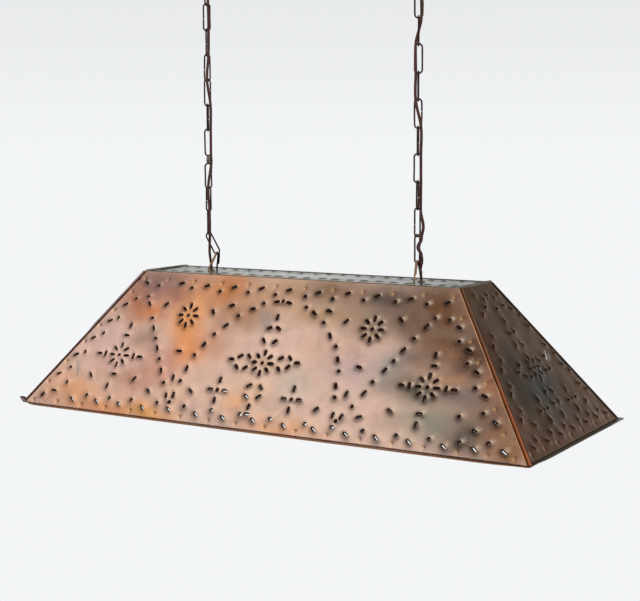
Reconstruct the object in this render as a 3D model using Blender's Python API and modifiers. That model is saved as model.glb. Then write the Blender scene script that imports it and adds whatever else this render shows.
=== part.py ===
"""Pierced copper island lamp: a long tapered shade that hangs on two chains below a ceiling.

Metres, +Z up. The origin lies in the ceiling plane, above the middle of the shade.
"""
import math

import bmesh
import bpy
from mathutils import Matrix, Vector

LAMP = "copper_ceiling_lamp"

# Shade, over the outer faces of its sheets
SHADE_LENGTH = 0.760
SHADE_WIDTH = 0.3115
SHADE_HEIGHT = 0.183
TOP_LENGTH = 0.4885
TOP_WIDTH = 0.097
SHEET = 0.0008
SHEET_INSET = 0.0011
GAP = 0.0003

# Corner seams, measured level
SEAM_END_LEG = 0.0100
SEAM_FRONT_LEG = 0.0024
SEAM_THICK = 0.0022
SEAM_CREASE = 0.0012

# Bottom flange
FLANGE_OUT = 0.010
FLANGE_IN = 0.002
FLANGE_THICK = 0.0012

# Punched marks
DASH_LENGTH = 0.0084
DASH_WIDTH = 0.0038
DOT_SIZE = 0.0044
BORDER_INSET = 0.0165
BORDER_SPACING = 0.0640
BOTTOM_TILT = -38
TOP_TILT = 24
SIDE_TILT = 32
SWAG_SPACING = 0.0380
PETAL_REACH = 0.0128
CROSS_REACH = 0.0120
LEAF_REACH = 0.0085
LEAF_STEP = 0.0065
LEAF_TIP = 0.0195
PAIR_REACH = 0.0075
FLOWER_GUARD = 0.0250
FRONT_SHIFT = -0.003
END_SHIFT = 0.009

# Chains
WIRE = 0.0023
LINK_WIDTH = 0.0116
LINK_PITCH = 0.0345
LINK_SHORTER = 0.0021
JOINER_PITCH = 0.0132
JOINER_WIDTH = 0.0100
ARC_STEPS = 5
HANGER_HALF_SPACING = 0.162
LEFT_CHAIN_SHIFT = -0.0060
LEFT_APEX_SHIFT = 0.0070
RIGHT_CHAIN_SHIFT = -0.0010

# Ceiling fittings
CANOPY_RADIUS = 0.032
CANOPY_HEIGHT = 0.020
CANOPY_WALL = 0.0010
CROSSBAR_LENGTH = 0.052
CROSSBAR_WIDTH = 0.012
CROSSBAR_THICK = 0.0020
CROSSBAR_SCREW_OUT = 0.0180
CROSSBAR_HOLE = 0.0044
STEM_RADIUS = 0.0048
COLLAR_RADIUS = 0.0080
COLLAR_HEIGHT = 0.0040
LOOP_SEAT = 0.0008
LOOP_RADIUS = 0.0085
LOOP_WIRE = 0.0032

# Hangers on the top sheet
HANGER_WIRE = 0.0026
HANGER_HALF_SPREAD = 0.010
HANGER_RISE = 0.0253
HANGER_FOOT = 0.009
HANGER_KNEE = 0.004
HANGER_ARCH = 0.0034
RIGHT_HANGER_PLAY = 0.0005

# Flex
CORD = 0.0032
CORD_BREAK = 0.0009
ROUTE_STEP = 0.0006
ENTRY_STEP = 0.004
ENTRY_BACK = 0.002
ENTRY_RISE = 0.006
FLEX_HOLE_OUT = 0.0088
FLEX_HOLE_ROOM = 0.0010

# Lampholders and bulbs
NIPPLE_RADIUS = 0.0045
NIPPLE_BORE = 0.0026
NIPPLE_LENGTH = 0.0140
NIPPLE_COLLAR = 0.0055
NIPPLE_COLLAR_THICK = 0.0016
HOLDER_DROP = 0.0060
HOLDER_LENGTH = 0.048
HOLDER_WALL = 0.0030
HOLDER_SHOULDER = 0.0100
BULB_RADIUS = 0.030
BULB_LENGTH = 0.084
BULB_WALL = 0.0008
BULB_NECK_SHARE = 0.16
BULB_FLARE = 1.05
BULB_BASE_RADIUS = 0.0130
BULB_BASE_LENGTH = 0.026
BULB_BASE_DEPTH = 0.0150
BULB_CAP_WALL = 0.0006
BULB_CAP_END = 0.45
BULB_CAP_SHOULDER = 0.95
BULB_CAP_SLOPE = 0.0045

# Twist of each link about the vertical, from the ceiling down, in degrees
LEFT_TWISTS = (98, 20, 110, -5, 66, 135, 45, 130, 50, -15, 105, 0)
RIGHT_TWISTS = (98, 20, 115, 30, 120, 35, 125, 30, 130, 68, -20)
JOINER_PLACE = 7

# Flex beside each chain, as angle in degrees and distance from the chain's line at each contact
LEFT_WEAVE = (
    (315, 0.0060),
    (330, 0.0048),
    (335, 0.0048),
    (322, 0.0062),
    (300, 0.0046),
    (10, 0.0044),
    (0, 0.0048),
    (357, 0.0050),
    (0, 0.0050),
    (300, 0.0050),
    (315, 0.0064),
    (318, 0.0056),
)
RIGHT_WEAVE = (
    (315, 0.0060),
    (328, 0.0052),
    (336, 0.0054),
    (252, 0.0052),
    (255, 0.0050),
    (256, 0.0050),
    (350, 0.0048),
    (347, 0.0050),
    (350, 0.0052),
    (9, 0.0044),
    (24, 0.0050),
)

# The right chain's link that the flex passes through, counted from the ceiling
THREADED_LINK = 2

# Flex beside the last link: across and back from the chain's line, and share of the link's height
LEFT_LAST_PLACES = ((0.0034, -0.0034, 0.45), (0.0030, -0.0030, 0.0))
RIGHT_LAST_PLACES = ((0.0050, 0.0026, 0.50), (0.0052, 0.0030, 0.0))

COPPER = (0.62, 0.34, 0.24)
DARK_COPPER = (0.20, 0.15, 0.13)
GREY_COPPER = (0.36, 0.37, 0.33)
SEAM_COPPER = (0.42, 0.20, 0.08)
BRONZE = (0.12, 0.09, 0.07)
BRASS = (0.55, 0.42, 0.22)
STEEL = (0.55, 0.55, 0.55)
FLEX_BROWN = (0.16, 0.06, 0.045)
PORCELAIN = (0.82, 0.80, 0.74)
OPAL = (0.92, 0.90, 0.84)


def clear_scene():
    """Removes what the file holds at the start."""
    for item in list(bpy.data.objects):
        bpy.data.objects.remove(item, do_unlink=True)


def collection(name):
    """A collection under the scene, made once."""
    found = bpy.data.collections.get(name)
    if found is None:
        found = bpy.data.collections.new(name)
        bpy.context.scene.collection.children.link(found)
    return found


def material(name, colour, metallic, roughness):
    """A plain Principled material of its own for one piece."""
    made = bpy.data.materials.new(name)
    made.use_nodes = True
    shader = made.node_tree.nodes["Principled BSDF"]
    shader.inputs["Base Color"].default_value = (*colour, 1.0)
    shader.inputs["Metallic"].default_value = metallic
    shader.inputs["Roughness"].default_value = roughness
    made.diffuse_color = (*colour, 1.0)
    return made


def pivot(name, place, parent=None):
    """An empty on a joint's axis, which carries the pieces of one moving body."""
    empty = bpy.data.objects.new(name, None)
    empty.empty_display_size = 0.01
    collection(LAMP).objects.link(empty)
    empty["world"] = tuple(place)
    empty.parent = parent
    base = Vector(parent["world"]) if parent else Vector((0, 0, 0))
    empty.location = Vector(place) - base
    return empty


def place(item, carrier, where=(0, 0, 0), turn=None):
    """Hangs a piece on its body's empty at a world place and turn."""
    base = Vector(carrier["world"])
    item.parent = carrier
    item.location = Vector(where) - base
    if turn is not None:
        item.rotation_euler = turn
    return item


def add_object(name, data, colour, metallic=1.0, roughness=0.4):
    """Links an object with its own material into the lamp's collection."""
    item = bpy.data.objects.new(name, data)
    collection(LAMP).objects.link(item)
    item.data.materials.clear()
    item.data.materials.append(material(name, colour, metallic, roughness))
    return item


def poly_curve(name, points, thickness, closed=False, sides=1):
    """A wire or tube along straight steps between points."""
    curve = bpy.data.curves.new(name, "CURVE")
    curve.dimensions = "3D"
    curve.bevel_depth = thickness / 2
    curve.bevel_resolution = sides
    curve.use_fill_caps = not closed
    spline = curve.splines.new("POLY")
    spline.points.add(len(points) - 1)
    for target, point in zip(spline.points, points):
        target.co = (*point, 1.0)
    spline.use_cyclic_u = closed
    return curve


def flat_outline(name, loops, thickness):
    """A sheet in its own XY plane: the first loop is its edge, the others are holes."""
    curve = bpy.data.curves.new(name, "CURVE")
    curve.dimensions = "2D"
    curve.fill_mode = "BOTH"
    curve.extrude = thickness / 2
    for loop in loops:
        spline = curve.splines.new("POLY")
        spline.points.add(len(loop) - 1)
        for target, (x, y) in zip(spline.points, loop):
            target.co = (x, y, 0.0, 1.0)
        spline.use_cyclic_u = True
    return curve


def turned(name, profile, steps, colour, metallic=1.0, roughness=0.4):
    """A closed profile of (radius, height) turned about Z; it runs down its outer side first."""
    mesh = bpy.data.meshes.new(name)
    points = [(radius, 0.0, height) for radius, height in profile]
    edges = []
    for here in range(len(points)):
        after = (here + 1) % len(points)
        if profile[here][0] > 0 or profile[after][0] > 0:
            edges.append((here, after))
    mesh.from_pydata(points, edges, [])
    item = add_object(name, mesh, colour, metallic, roughness)
    screw = item.modifiers.new("turn", "SCREW")
    screw.axis = "Z"
    screw.steps = steps
    screw.render_steps = steps
    screw.use_merge_vertices = True
    screw.merge_threshold = 0.00001
    screw.use_smooth_shade = True
    return item


def smooth_curve(points, count):
    """Evenly spaced places on a smooth curve through the given points."""
    ends = [points[0] * 2 - points[1], *points, points[-1] * 2 - points[-2]]
    fine = []
    per_span = 40
    for i in range(1, len(ends) - 2):
        a, b, c, d = ends[i - 1 : i + 3]
        for k in range(per_span):
            t = k / per_span
            fine.append(
                0.5 * (2 * b + (c - a) * t + (2 * a - 5 * b + 4 * c - d) * t**2 + (3 * b - a - 3 * c + d) * t**3)
            )
    fine.append(points[-1])
    along = [0.0]
    for before, after in zip(fine, fine[1:]):
        along.append(along[-1] + (after - before).length)
    places = []
    at = 0
    for k in range(count):
        goal = along[-1] * k / (count - 1)
        while at < len(along) - 2 and along[at + 1] < goal:
            at += 1
        span = along[at + 1] - along[at]
        places.append(fine[at].lerp(fine[at + 1], (goal - along[at]) / span))
    return places


# Punched pattern. A mark is (across, up, angle, length, width) on the sheet, in metres and degrees.


def dash(across, up, angle):
    """A chisel cut."""
    return (across, up, angle, DASH_LENGTH, DASH_WIDTH)


def dot(across, up):
    """A nail hole, cut square on its corner."""
    return (across, up, 45, DOT_SIZE, DOT_SIZE)


def mark_loop(mark):
    """The outline of one mark."""
    across, up, angle, length, width = mark
    turn = math.radians(angle)
    along = Vector((math.cos(turn), math.sin(turn))) * length / 2
    side = Vector((-math.sin(turn), math.cos(turn))) * width / 2
    middle = Vector((across, up))
    return [tuple(middle + corner) for corner in (along + side, side - along, -along - side, along - side)]


def flower(across, up):
    """Eight petals about a nail hole."""
    marks = [dot(across, up)]
    for k in range(8):
        turn = math.radians(45 * k)
        reach = PETAL_REACH
        marks.append(dash(across + reach * math.cos(turn), up + reach * math.sin(turn), 45 * k))
    return marks


def cross(across, up):
    """Four cuts about a nail hole."""
    marks = [dot(across, up)]
    for k in range(4):
        turn = math.radians(90 * k)
        marks.append(dash(across + CROSS_REACH * math.cos(turn), up + CROSS_REACH * math.sin(turn), 90 * k))
    return marks


def leaf(across, up):
    """Four cuts that close a pointed leaf."""
    marks = []
    for side in (-1, 1):
        for level in (-1, 1):
            marks.append(dash(across + side * LEAF_REACH, up + level * LEAF_REACH * 0.9, -side * level * 40))
    return marks


def sprig(across, up):
    """A flower with its side leaves, as in the middle of a sheet."""
    marks = flower(across, up)
    for side in (-1, 1):
        middle = across + side * (PETAL_REACH + DASH_LENGTH / 2 + LEAF_REACH + LEAF_STEP)
        marks += leaf(middle, up)
        marks.append(dash(middle + side * LEAF_TIP, up, 0))
    return marks


def middle_column(across, shares, slope):
    """What stands above and below the middle flower."""
    marks = []
    for share in shares["uprights"]:
        marks.append(dash(across, share * slope, 90))
    for share, tilt in shares["pairs"]:
        for side in (-1, 1):
            marks.append(dash(across + side * PAIR_REACH, share * slope, side * tilt))
    marks += leaf(across, shares["leaf"] * slope)
    return marks


def swag(shares, half_at, slope, side):
    """Cuts along one side of a hanging curve, whose places are shares of the sheet."""
    points = [Vector((side * across * half_at(up * slope), up * slope)) for across, up in shares]
    length = sum((b - a).length for a, b in zip(points, points[1:]))
    count = max(3, round(length / SWAG_SPACING) + 1)
    places = smooth_curve(points, count)
    marks = []
    for k, here in enumerate(places):
        before = places[max(k - 1, 0)]
        after = places[min(k + 1, count - 1)]
        heading = math.degrees(math.atan2(after.y - before.y, after.x - before.x))
        marks.append(dash(here.x, here.y, heading))
    return marks


def border(half_bottom, half_top, slope):
    """Dashes set aslant along the four edges of a sheet."""
    marks = []
    rise = math.atan2(slope, half_bottom - half_top)
    level = BORDER_INSET / math.sin(rise)
    low = 0.7 * BORDER_INSET
    for up, half, tilt in ((low, half_bottom, BOTTOM_TILT), (slope - BORDER_INSET, half_top, TOP_TILT)):
        reach = half - (0 if up > low else (half_bottom - half_top) * low / slope) - level - DASH_LENGTH
        count = max(2, round(2 * reach / BORDER_SPACING) + 1)
        for k in range(count):
            marks.append(dash(-reach + 2 * reach * k / (count - 1), up, tilt))
    edge = math.hypot(slope, half_bottom - half_top)
    count = max(2, round((edge - 3 * BORDER_INSET) / (BORDER_SPACING * 0.78)))
    for k in range(count):
        up = BORDER_INSET * 1.4 + (slope - 3.4 * BORDER_INSET) * (k + 0.5) / count
        half = half_bottom - (half_bottom - half_top) * up / slope
        for side in (-1, 1):
            marks.append(dash(side * (half - level), up, -side * SIDE_TILT))
    return marks


SWAG_OUTER = ((0.822, 0.809), (0.590, 0.520), (0.355, 0.140))
SWAG_INNER = ((0.335, 0.165), (0.350, 0.335), (0.325, 0.500), (0.270, 0.648), (0.160, 0.780), (0.030, 0.840))
LONG_FLOWERS = ((0.501, 0.703), (0.724, 0.387))
LONG_CROSSES = ((0.163, 0.222),)
LONG_SINGLES = (
    (0.370, 0.740, 60),
    (0.435, 0.457, 0),
    (0.564, 0.226, -45),
)
LONG_COLUMN = {"uprights": (0.736, 0.141), "pairs": ((0.661, -22), (0.575, 48)), "leaf": 0.240, "flower": 0.431}
END_CROSSES = ((0.345, 0.215),)
END_SINGLES = ((0.640, 0.170, 45),)
END_COLUMN = {"uprights": (0.754, 0.155), "pairs": ((0.680, -30), (0.601, 40)), "leaf": 0.268, "flower": 0.452}


def long_pattern(half_bottom, half_top, slope):
    """The front and back sheets' pattern."""

    def half_at(up):
        return half_bottom - (half_bottom - half_top) * up / slope

    marks = []
    for side in (-1, 1):
        marks += swag(SWAG_OUTER, half_at, slope, side)
        marks += swag(SWAG_INNER, half_at, slope, side)
        for across, up in LONG_FLOWERS:
            marks += flower(side * across * half_at(up * slope), up * slope)
        for across, up in LONG_CROSSES:
            marks += cross(side * across * half_at(up * slope), up * slope)
        for across, up, angle in LONG_SINGLES:
            marks.append(dash(side * across * half_at(up * slope), up * slope, side * angle))
        across, up = LONG_FLOWERS[1]
        middle = side * across * half_at(up * slope)
        for arm in (-1, 1):
            marks.append(dash(middle + arm * FLOWER_GUARD, up * slope, 90))
    marks += sprig(0.0, LONG_COLUMN["flower"] * slope)
    marks += middle_column(0.0, LONG_COLUMN, slope)
    shifted = [(across + FRONT_SHIFT, *rest) for across, *rest in marks]
    return shifted + border(half_bottom, half_top, slope)


def end_pattern(half_bottom, half_top, slope):
    """The end sheets' pattern."""

    def half_at(up):
        return half_bottom - (half_bottom - half_top) * up / slope

    marks = sprig(0.0, END_COLUMN["flower"] * slope)
    marks += middle_column(0.0, END_COLUMN, slope)
    for side in (-1, 1):
        for across, up in END_CROSSES:
            marks += cross(side * across * half_at(up * slope), up * slope)
        for across, up, angle in END_SINGLES:
            marks.append(dash(side * across * half_at(up * slope), up * slope, side * angle))
    shifted = [(across + END_SHIFT, *rest) for across, *rest in marks]
    return shifted + border(half_bottom, half_top, slope)


# Heights, from the ceiling down
CANOPY_BOTTOM = -CANOPY_HEIGHT
LOOP_CENTRE = CANOPY_BOTTOM - GAP - COLLAR_HEIGHT - LOOP_SEAT - LOOP_RADIUS
LOOP_CROWN = LOOP_CENTRE - LOOP_RADIUS
TOP_CONTACT = LOOP_CROWN + LOOP_WIRE / 2 + GAP / 2
RIGHT_LINKS = len(RIGHT_TWISTS)
HANGER_CONTACT = TOP_CONTACT - RIGHT_LINKS * LINK_PITCH
TOP_SHEET = HANGER_CONTACT - HANGER_RISE
SHADE_FOOT = TOP_SHEET - SHADE_HEIGHT

LEFT_CHAIN_X = -HANGER_HALF_SPACING + LEFT_CHAIN_SHIFT
LEFT_APEX_X = -HANGER_HALF_SPACING + LEFT_APEX_SHIFT
RIGHT_CHAIN_X = HANGER_HALF_SPACING + RIGHT_CHAIN_SHIFT
ENTRY_OUT = HANGER_HALF_SPACING + ENTRY_STEP

LONG_SLOPE = math.hypot((SHADE_WIDTH - TOP_WIDTH) / 2, SHADE_HEIGHT)
END_SLOPE = math.hypot((SHADE_LENGTH - TOP_LENGTH) / 2, SHADE_HEIGHT)
CORNER_RUN = Vector(((TOP_LENGTH - SHADE_LENGTH) / 2, (SHADE_WIDTH - TOP_WIDTH) / 2, SHADE_HEIGHT))


def contacts_left():
    """Heights at which the left chain's links meet, with the hanger's last."""
    heights = [TOP_CONTACT]
    for k in range(1, len(LEFT_TWISTS)):
        if k - 1 == JOINER_PLACE:
            step = JOINER_PITCH
        elif k - 1 > JOINER_PLACE:
            step = LINK_PITCH - LINK_SHORTER
        else:
            step = LINK_PITCH
        heights.append(heights[-1] - step)
    return [*heights, HANGER_CONTACT]


def contacts_right():
    """Heights at which the right chain's links meet, with the hanger's last."""
    return [TOP_CONTACT - k * LINK_PITCH for k in range(RIGHT_LINKS + 1)]


def arc(radius):
    """Half a circle from one side over to the other, with a level step at its crown."""
    steps = [math.pi * k / ARC_STEPS for k in range(ARC_STEPS + 1)]
    rise = radius / math.cos(math.pi / 2 / ARC_STEPS)
    return [(radius * math.cos(turn), rise * math.sin(turn)) for turn in steps]


def link_points(spread, width, wire):
    """The middle line of an oval link in its own XZ plane, centred."""
    points = []
    for end in (1, -1):
        for out, up in arc((width - wire) / 2):
            points.append((end * out, 0.0, end * (spread / 2 + up)))
    return points


def link(name, carrier, top, bottom, twist, width=LINK_WIDTH, wire=WIRE):
    """One chain link that hangs between two contacts, given as world points."""
    bend = width / 2 - wire - GAP / 2
    upper = Vector(top) - Vector((0, 0, bend))
    lower = Vector(bottom) + Vector((0, 0, bend))
    run = upper - lower
    curve = poly_curve(name, link_points(run.length, width, wire), wire, closed=True)
    item = add_object(name, curve, BRONZE, 0.8, 0.5)
    lean = math.atan2(run.x, run.z)
    turn = Matrix.Rotation(lean, 4, "Y") @ Matrix.Rotation(math.radians(twist), 4, "Z")
    return place(item, carrier, (upper + lower) / 2, turn.to_euler())


def chain(side, contacts, twists, x, apex_x, bodies):
    """All the links on one side; the first and the last are bodies of their own."""
    last = len(twists) - 1
    number = 0
    for k, twist in enumerate(twists):
        width = LINK_WIDTH
        if k == 0:
            name, body = f"top_link_{side}", "top_link"
        elif k == last:
            name, body = f"last_link_{side}", "last_link"
        elif side == "left" and k == JOINER_PLACE:
            name, body, width = "chain_joiner_left", "chain", JOINER_WIDTH
        else:
            number += 1
            name, body = f"chain_link_{side}_{number}", "chain"
        top = (x, 0, contacts[k])
        bottom = (apex_x if k == last else x, 0, contacts[k + 1])
        link(name, bodies[body], top, bottom, twist, width)


def cut_round(item, name, where, diameter, low, high):
    """Cuts a straight upright hole through a piece."""
    mesh = bpy.data.meshes.new(name)
    shape = bmesh.new()
    middle = Matrix.Translation((*where, (low + high) / 2))
    radius = diameter / 2
    bmesh.ops.create_cone(
        shape, cap_ends=True, segments=10, radius1=radius, radius2=radius, depth=high - low, matrix=middle
    )
    shape.to_mesh(mesh)
    shape.free()
    add_tool(item, name, mesh, "DIFFERENCE")


def add_tool(item, name, mesh, operation):
    """Keeps a hidden helper shape and joins it to, or cuts it from, a piece."""
    tool = bpy.data.objects.new(name, mesh)
    collection("cutters").objects.link(tool)
    tool.hide_render = True
    tool.display_type = "WIRE"
    change = item.modifiers.new(name, "BOOLEAN")
    change.operation = operation
    change.solver = "EXACT"
    change.object = tool


def circle_loop(across, up, radius, sides=10):
    """A round hole's outline."""
    steps = [2 * math.pi * k / sides for k in range(sides)]
    return [(across + radius * math.cos(turn), up + radius * math.sin(turn)) for turn in steps]


# Ceiling fittings


def canopy(side, x, root):
    """A spun cup over the ceiling box; its rim lies on the ceiling."""
    wall = CANOPY_WALL
    hole = STEM_RADIUS + GAP
    outer = [
        (CANOPY_RADIUS, 0.0),
        (CANOPY_RADIUS, -0.12 * CANOPY_HEIGHT),
        (CANOPY_RADIUS * 0.92, -0.45 * CANOPY_HEIGHT),
        (CANOPY_RADIUS * 0.62, -0.83 * CANOPY_HEIGHT),
        (CANOPY_RADIUS * 0.36, -CANOPY_HEIGHT),
        (hole, -CANOPY_HEIGHT),
    ]
    inner = [(hole, -CANOPY_HEIGHT + wall)]
    for radius, height in reversed(outer[2:-1]):
        inner.append((radius - wall, height + wall))
    inner += [(CANOPY_RADIUS - wall, -0.12 * CANOPY_HEIGHT), (CANOPY_RADIUS - wall, 0.0)]
    item = turned(f"canopy_{side}", outer + inner, 12, COPPER, 1.0, 0.35)
    place(item, root, (x, 0, 0))
    where = (x + FLEX_HOLE_OUT, -FLEX_HOLE_OUT)
    cut_round(item, f"flex_hole_{side}", where, CORD + FLEX_HOLE_ROOM, -2 * CANOPY_HEIGHT, -0.2 * CANOPY_HEIGHT)


def crossbar(side, x, root):
    """The strap that screws to the ceiling box inside the canopy."""
    half = CROSSBAR_LENGTH / 2
    side_half = CROSSBAR_WIDTH / 2
    edge = [(-half, -side_half), (half, -side_half), (half, side_half), (-half, side_half)]
    slots = [circle_loop(end * CROSSBAR_SCREW_OUT, 0.0, CROSSBAR_HOLE / 2, 8) for end in (-1, 1)]
    curve = flat_outline(f"crossbar_{side}", [edge, *slots], CROSSBAR_THICK)
    item = add_object(f"crossbar_{side}", curve, STEEL, 1.0, 0.4)
    place(item, root, (x, 0, -CROSSBAR_THICK / 2))


def ceiling_loop(side, x, root):
    """A threaded stem and collar with the ring that the chain hangs on."""
    top = -CROSSBAR_THICK - GAP
    collar_top = CANOPY_BOTTOM - GAP
    collar_low = collar_top - COLLAR_HEIGHT
    profile = [
        (0.0, top),
        (STEM_RADIUS, top),
        (STEM_RADIUS, collar_top),
        (COLLAR_RADIUS, collar_top),
        (COLLAR_RADIUS, collar_low),
        (STEM_RADIUS * 0.7, collar_low - LOOP_WIRE / 2),
        (0.0, collar_low - LOOP_WIRE / 2),
    ]
    item = turned(f"ceiling_loop_{side}", profile, 10, BRONZE, 1.0, 0.4)
    place(item, root, (x, 0, 0))
    bpy.ops.mesh.primitive_torus_add(
        major_radius=LOOP_RADIUS,
        minor_radius=LOOP_WIRE / 2,
        major_segments=14,
        minor_segments=6,
    )
    ring = bpy.context.object
    mesh = ring.data
    mesh.transform(Matrix.Translation((x, 0, LOOP_CENTRE)) @ Matrix.Rotation(math.pi / 2, 4, "X"))
    bpy.data.objects.remove(ring)
    add_tool(item, f"loop_ring_{side}", mesh, "UNION")


# Hangers and cord entries


def hanger(side, foot_x, apex_x, play, shade):
    """A bent wire over the last link, with some play there; its ends are folded under the top sheet."""
    under = TOP_SHEET - SHEET - 2 * GAP - HANGER_WIRE / 2
    knee = TOP_SHEET + HANGER_KNEE
    apex = HANGER_CONTACT + GAP / 2 + play + HANGER_WIRE / 2
    shoulder = apex - HANGER_ARCH
    leg = [
        (HANGER_HALF_SPREAD + HANGER_FOOT, under),
        (HANGER_HALF_SPREAD + HANGER_WIRE / 2, under),
        (HANGER_HALF_SPREAD, under + HANGER_WIRE / 2),
        (HANGER_HALF_SPREAD, knee),
    ]
    bend = [(out, shoulder + up) for out, up in arc(HANGER_ARCH)]
    line = leg + bend + [(-out, up) for out, up in reversed(leg)]
    points = []
    for y, z in line:
        share = min(max((z - knee) / (shoulder - knee), 0.0), 1.0)
        points.append((foot_x + (apex_x - foot_x) * share, y, z))
    base = Vector(shade["world"])
    curve = poly_curve(f"hanger_{side}", [Vector(p) - base for p in points], HANGER_WIRE)
    item = add_object(f"hanger_{side}", curve, COPPER, 1.0, 0.35)
    place(item, shade, base)


def nipple(side, x, shade):
    """A flanged tube through the top sheet; the flex runs down it and the lampholder hangs on it."""
    top = TOP_SHEET + GAP + NIPPLE_COLLAR_THICK
    seat = TOP_SHEET + GAP
    low = TOP_SHEET - NIPPLE_LENGTH
    profile = [
        (NIPPLE_COLLAR, top),
        (NIPPLE_COLLAR, seat),
        (NIPPLE_RADIUS, seat),
        (NIPPLE_RADIUS, low),
        (NIPPLE_BORE, low),
        (NIPPLE_BORE, top),
    ]
    item = turned(f"cord_nipple_{side}", profile, 10, BRASS, 1.0, 0.35)
    place(item, shade, (x, ENTRY_BACK, 0))


def lampholder(side, x, shade):
    """A moulded cup, open below, that hangs on the nipple."""
    top = TOP_SHEET - HOLDER_DROP
    low = top - HOLDER_LENGTH
    hole = NIPPLE_RADIUS + GAP
    bore = BULB_BASE_RADIUS + GAP
    outside = bore + HOLDER_WALL
    profile = [
        (HOLDER_SHOULDER, top),
        (outside, top - HOLDER_WALL * 2.5),
        (outside, low),
        (bore, low),
        (bore, top - HOLDER_WALL * 3),
        (HOLDER_SHOULDER - HOLDER_WALL / 2, top - HOLDER_WALL),
        (hole, top - HOLDER_WALL),
        (hole, top),
    ]
    item = turned(f"lampholder_{side}", profile, 12, PORCELAIN, 0.0, 0.4)
    place(item, shade, (x, ENTRY_BACK, 0))


def glass_skin(top, inset):
    """One side of the bulb's glass, from its open neck down to its lowest point."""
    neck = BULB_BASE_RADIUS - GAP
    radius = BULB_RADIUS - inset
    centre = top - BULB_LENGTH + BULB_RADIUS
    skin = [(neck - inset, top), (neck * BULB_FLARE - inset, top - BULB_NECK_SHARE * BULB_LENGTH)]
    for angle in (50, 20, -10, -40, -68):
        turn = math.radians(angle)
        skin.append((radius * math.cos(turn), centre + radius * math.sin(turn)))
    return [*skin, (0.0, centre - radius)]


def cap_skin(top, low, inset):
    """One side of the bulb's screw cap, from the middle of its closed end down to its open rim."""
    return [
        (0.0, top - inset),
        (BULB_BASE_RADIUS * BULB_CAP_END - inset / 2, top - inset),
        (BULB_BASE_RADIUS * BULB_CAP_SHOULDER - inset, top - BULB_CAP_SLOPE - inset / 2),
        (BULB_BASE_RADIUS - inset, low),
    ]


def bulb(side, x, carrier):
    """A round hollow bulb and its screw cap."""
    cap_top = TOP_SHEET - HOLDER_DROP - BULB_BASE_DEPTH
    cap_low = cap_top - BULB_BASE_LENGTH
    cap = cap_skin(cap_top, cap_low, 0.0) + cap_skin(cap_top, cap_low, BULB_CAP_WALL)[::-1]
    item = turned(f"bulb_cap_{side}", cap, 12, BRASS, 1.0, 0.35)
    place(item, carrier, (x, ENTRY_BACK, 0))
    glass = glass_skin(cap_low - GAP, 0.0) + glass_skin(cap_low - GAP, BULB_WALL)[::-1]
    item = turned(f"bulb_{side}", glass, 12, OPAL, 0.0, 0.1)
    place(item, carrier, (x, ENTRY_BACK, 0))


# Shade


def sheet_edge(half_bottom, half_top, slope, run):
    """A sloping sheet's outline, drawn in from its corners for the neighbours' thickness."""
    rise = math.atan2(slope, half_bottom - half_top)
    inset = SHEET_INSET / math.sin(rise)
    low = SHEET * run / SHADE_HEIGHT
    wide = half_bottom - (half_bottom - half_top) * low / slope - inset
    narrow = half_top - inset
    return [(-wide, low), (wide, low), (narrow, slope), (-narrow, slope)]


def shade_sheets(shade):
    """The five pierced sheets."""
    long_half, long_top = SHADE_LENGTH / 2, TOP_LENGTH / 2
    end_half, end_top = SHADE_WIDTH / 2, TOP_WIDTH / 2
    long_run, end_run = end_half - end_top, long_half - long_top
    long_loops = [sheet_edge(long_half, long_top, LONG_SLOPE, long_run)]
    long_loops += [mark_loop(mark) for mark in long_pattern(long_half, long_top, LONG_SLOPE)]
    end_loops = [sheet_edge(end_half, end_top, END_SLOPE, end_run)]
    end_loops += [mark_loop(mark) for mark in end_pattern(end_half, end_top, END_SLOPE)]
    sheets = (
        ("front_panel", long_loops, end_half, long_run, 0, COPPER),
        ("right_end_panel", end_loops, long_half, end_run, 90, DARK_COPPER),
        ("back_panel", long_loops, end_half, long_run, 180, COPPER),
        ("left_end_panel", end_loops, long_half, end_run, 270, DARK_COPPER),
    )
    for name, loops, out, run, facing, colour in sheets:
        item = add_object(name, flat_outline(name, loops, SHEET), colour, 1.0, 0.45)
        lean = math.atan2(SHADE_HEIGHT, run)
        turn = Matrix.Rotation(math.radians(facing), 4, "Z") @ Matrix.Rotation(lean, 4, "X")
        outward = turn @ Vector((0, 0, 1))
        foot = Matrix.Rotation(math.radians(facing), 4, "Z") @ Vector((0, -out, 0))
        where = foot + Vector((0, 0, SHADE_FOOT)) - outward * SHEET / 2
        place(item, shade, where, turn.to_euler())


def top_sheet(shade):
    """The level sheet that carries the hangers and the flex."""
    inset = 1.25 * SHEET + GAP
    half, deep = TOP_LENGTH / 2 - inset, TOP_WIDTH / 2 - inset
    loops = [[(-half, -deep), (half, -deep), (half, deep), (-half, deep)]]
    row = deep - BORDER_INSET
    count = round(2 * (half - BORDER_INSET) / BORDER_SPACING) + 1
    for k in range(count):
        across = (half - BORDER_INSET) * (2 * k / (count - 1) - 1)
        for side in (-1, 1):
            loops.append(mark_loop(dash(across, side * row, side * (30 if k % 2 else -30))))
    for side in (-1, 1):
        foot = side * HANGER_HALF_SPACING
        for arm in (-1, 1):
            loops.append(circle_loop(foot, arm * HANGER_HALF_SPREAD, HANGER_WIRE / 2 + GAP, 8))
        loops.append(circle_loop(side * ENTRY_OUT, ENTRY_BACK, NIPPLE_RADIUS + GAP))
    item = add_object("top_panel", flat_outline("top_panel", loops, SHEET), GREY_COPPER, 0.9, 0.5)
    place(item, shade, (0, 0, TOP_SHEET - SHEET / 2))


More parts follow.
